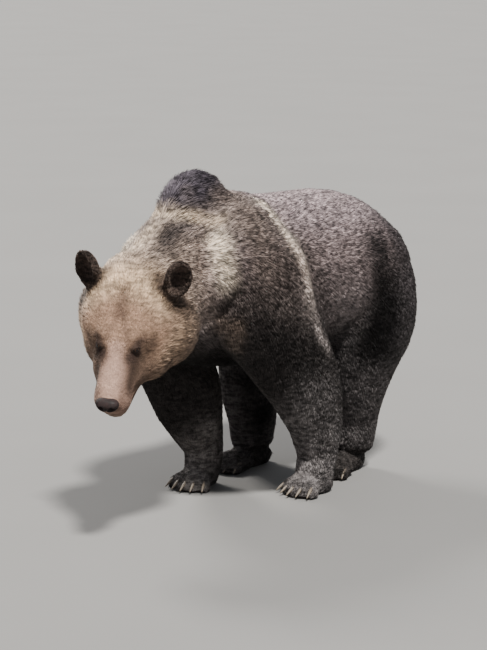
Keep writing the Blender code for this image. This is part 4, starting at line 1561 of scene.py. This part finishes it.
class BEAR_OT_coat(Operator):
    """Grow the coat on the skin, piece by piece"""

    bl_idname = "bear.coat"
    bl_label = "Coat"

    def execute(self, context):
        settings = context.scene.bear.coat
        if "skin" not in bpy.data.objects:
            raise RuntimeError("the skin has to be built before the coat")
        tree = tuft_tree()
        material = coat_material(bpy.data.node_groups["hair"])
        for number, (name, piece) in enumerate(COAT.items()):
            coat = grow_coat(name, piece, tree, material, settings, settings.seed + 10 * number)
            dressed(coat, material, piece.slot)
        return {"FINISHED"}


class BEAR_OT_eyes(Operator):
    """Make both eyes"""

    bl_idname = "bear.eyes"
    bl_label = "Eyes"

    def execute(self, context):
        material = eye_material(context.scene.bear.eyes)
        for name, side in SIDES:
            dressed(new_object(f"eyeball_{name}", eye_mesh(side)), material, "eye", f"eye_{name}")
        return {"FINISHED"}


class BEAR_OT_nose(Operator):
    """Make the nose pad"""

    bl_idname = "bear.nose"
    bl_label = "Nose"

    def execute(self, context):
        nose = new_object("nose_pad", nose_mesh())
        dressed(nose, nose_material(context.scene.bear.nose), "nose_skin", "nose")
        return {"FINISHED"}


class BEAR_OT_claws(Operator):
    """Make the claws of the four paws"""

    bl_idname = "bear.claws"
    bl_label = "Claws"

    def execute(self, context):
        material = claw_material(context.scene.bear.claws)
        for paw in PAWS:
            claws = new_object(f"claws_{paw}", claw_mesh(paw))
            dressed(claws, material, "claw_horn", *(f"claw_{paw}_{toe + 1}" for toe in range(TOES)))
        return {"FINISHED"}


class BEAR_OT_stage(Operator):
    """Set up the floor, the lights and the camera"""

    bl_idname = "bear.stage"
    bl_label = "Stage"

    def execute(self, context):
        settings = context.scene.bear.stage
        low, high = (Vector(corner) for corner in CAD_BOX)
        target = (low + high) / 2 + Vector(settings.target)
        floor_object()

        camera = bpy.data.cameras.new("camera")
        camera.lens = settings.lens
        camera.sensor_width = 36
        eye = new_object("camera", camera)
        eye.location = target + settings.distance * towards(settings.azimuth, settings.elevation)
        aimed(eye, target)
        context.scene.camera = eye

        beside, behind = (settings.azimuth + math.radians(turn) for turn in (18, -148))
        sunlight("key", beside, 60, settings.key, 0.12, (1.0, 0.97, 0.92))
        sunlight("rim", behind, 42, settings.rim, 0.30, (1.0, 0.96, 0.90))

        world = bpy.data.worlds.new("studio")
        world.use_nodes = True
        backdrop = world.node_tree.nodes["Background"]
        backdrop.inputs["Color"].default_value = (0.93, 0.95, 1.0, 1)
        backdrop.inputs["Strength"].default_value = 0.62
        context.scene.world = world
        return {"FINISHED"}


class BEAR_PT_model(Panel):
    bl_idname = "BEAR_PT_model"
    bl_label = "Brown bear"
    bl_space_type = "VIEW_3D"
    bl_region_type = "UI"
    bl_category = "Bear"

    def draw(self, context):
        settings = context.scene.bear
        for name in ("skin", "coat", "eyes", "nose", "claws", "stage"):
            box = self.layout.box()
            box.operator(f"bear.{name}")
            group = getattr(settings, name)
            for prop in group.__annotations__:
                box.prop(group, prop)


CLASSES = (
    BearSkinSettings, BearCoatSettings, BearEyeSettings, BearNoseSettings, BearClawSettings,
    BearStageSettings, BearSettings, BEAR_OT_skin, BEAR_OT_coat, BEAR_OT_eyes, BEAR_OT_nose,
    BEAR_OT_claws, BEAR_OT_stage, BEAR_PT_model,
)


def register():
    for cls in CLASSES:
        bpy.utils.register_class(cls)
    bpy.types.Scene.bear = PointerProperty(type=BearSettings)


def unregister():
    del bpy.types.Scene.bear
    for cls in reversed(CLASSES):
        bpy.utils.unregister_class(cls)


def main():
    register()
    bpy.ops.bear.skin()
    bpy.ops.bear.coat()
    bpy.ops.bear.eyes()
    bpy.ops.bear.nose()
    bpy.ops.bear.claws()
    bpy.ops.bear.stage()


if __name__ == "__main__":
    main()
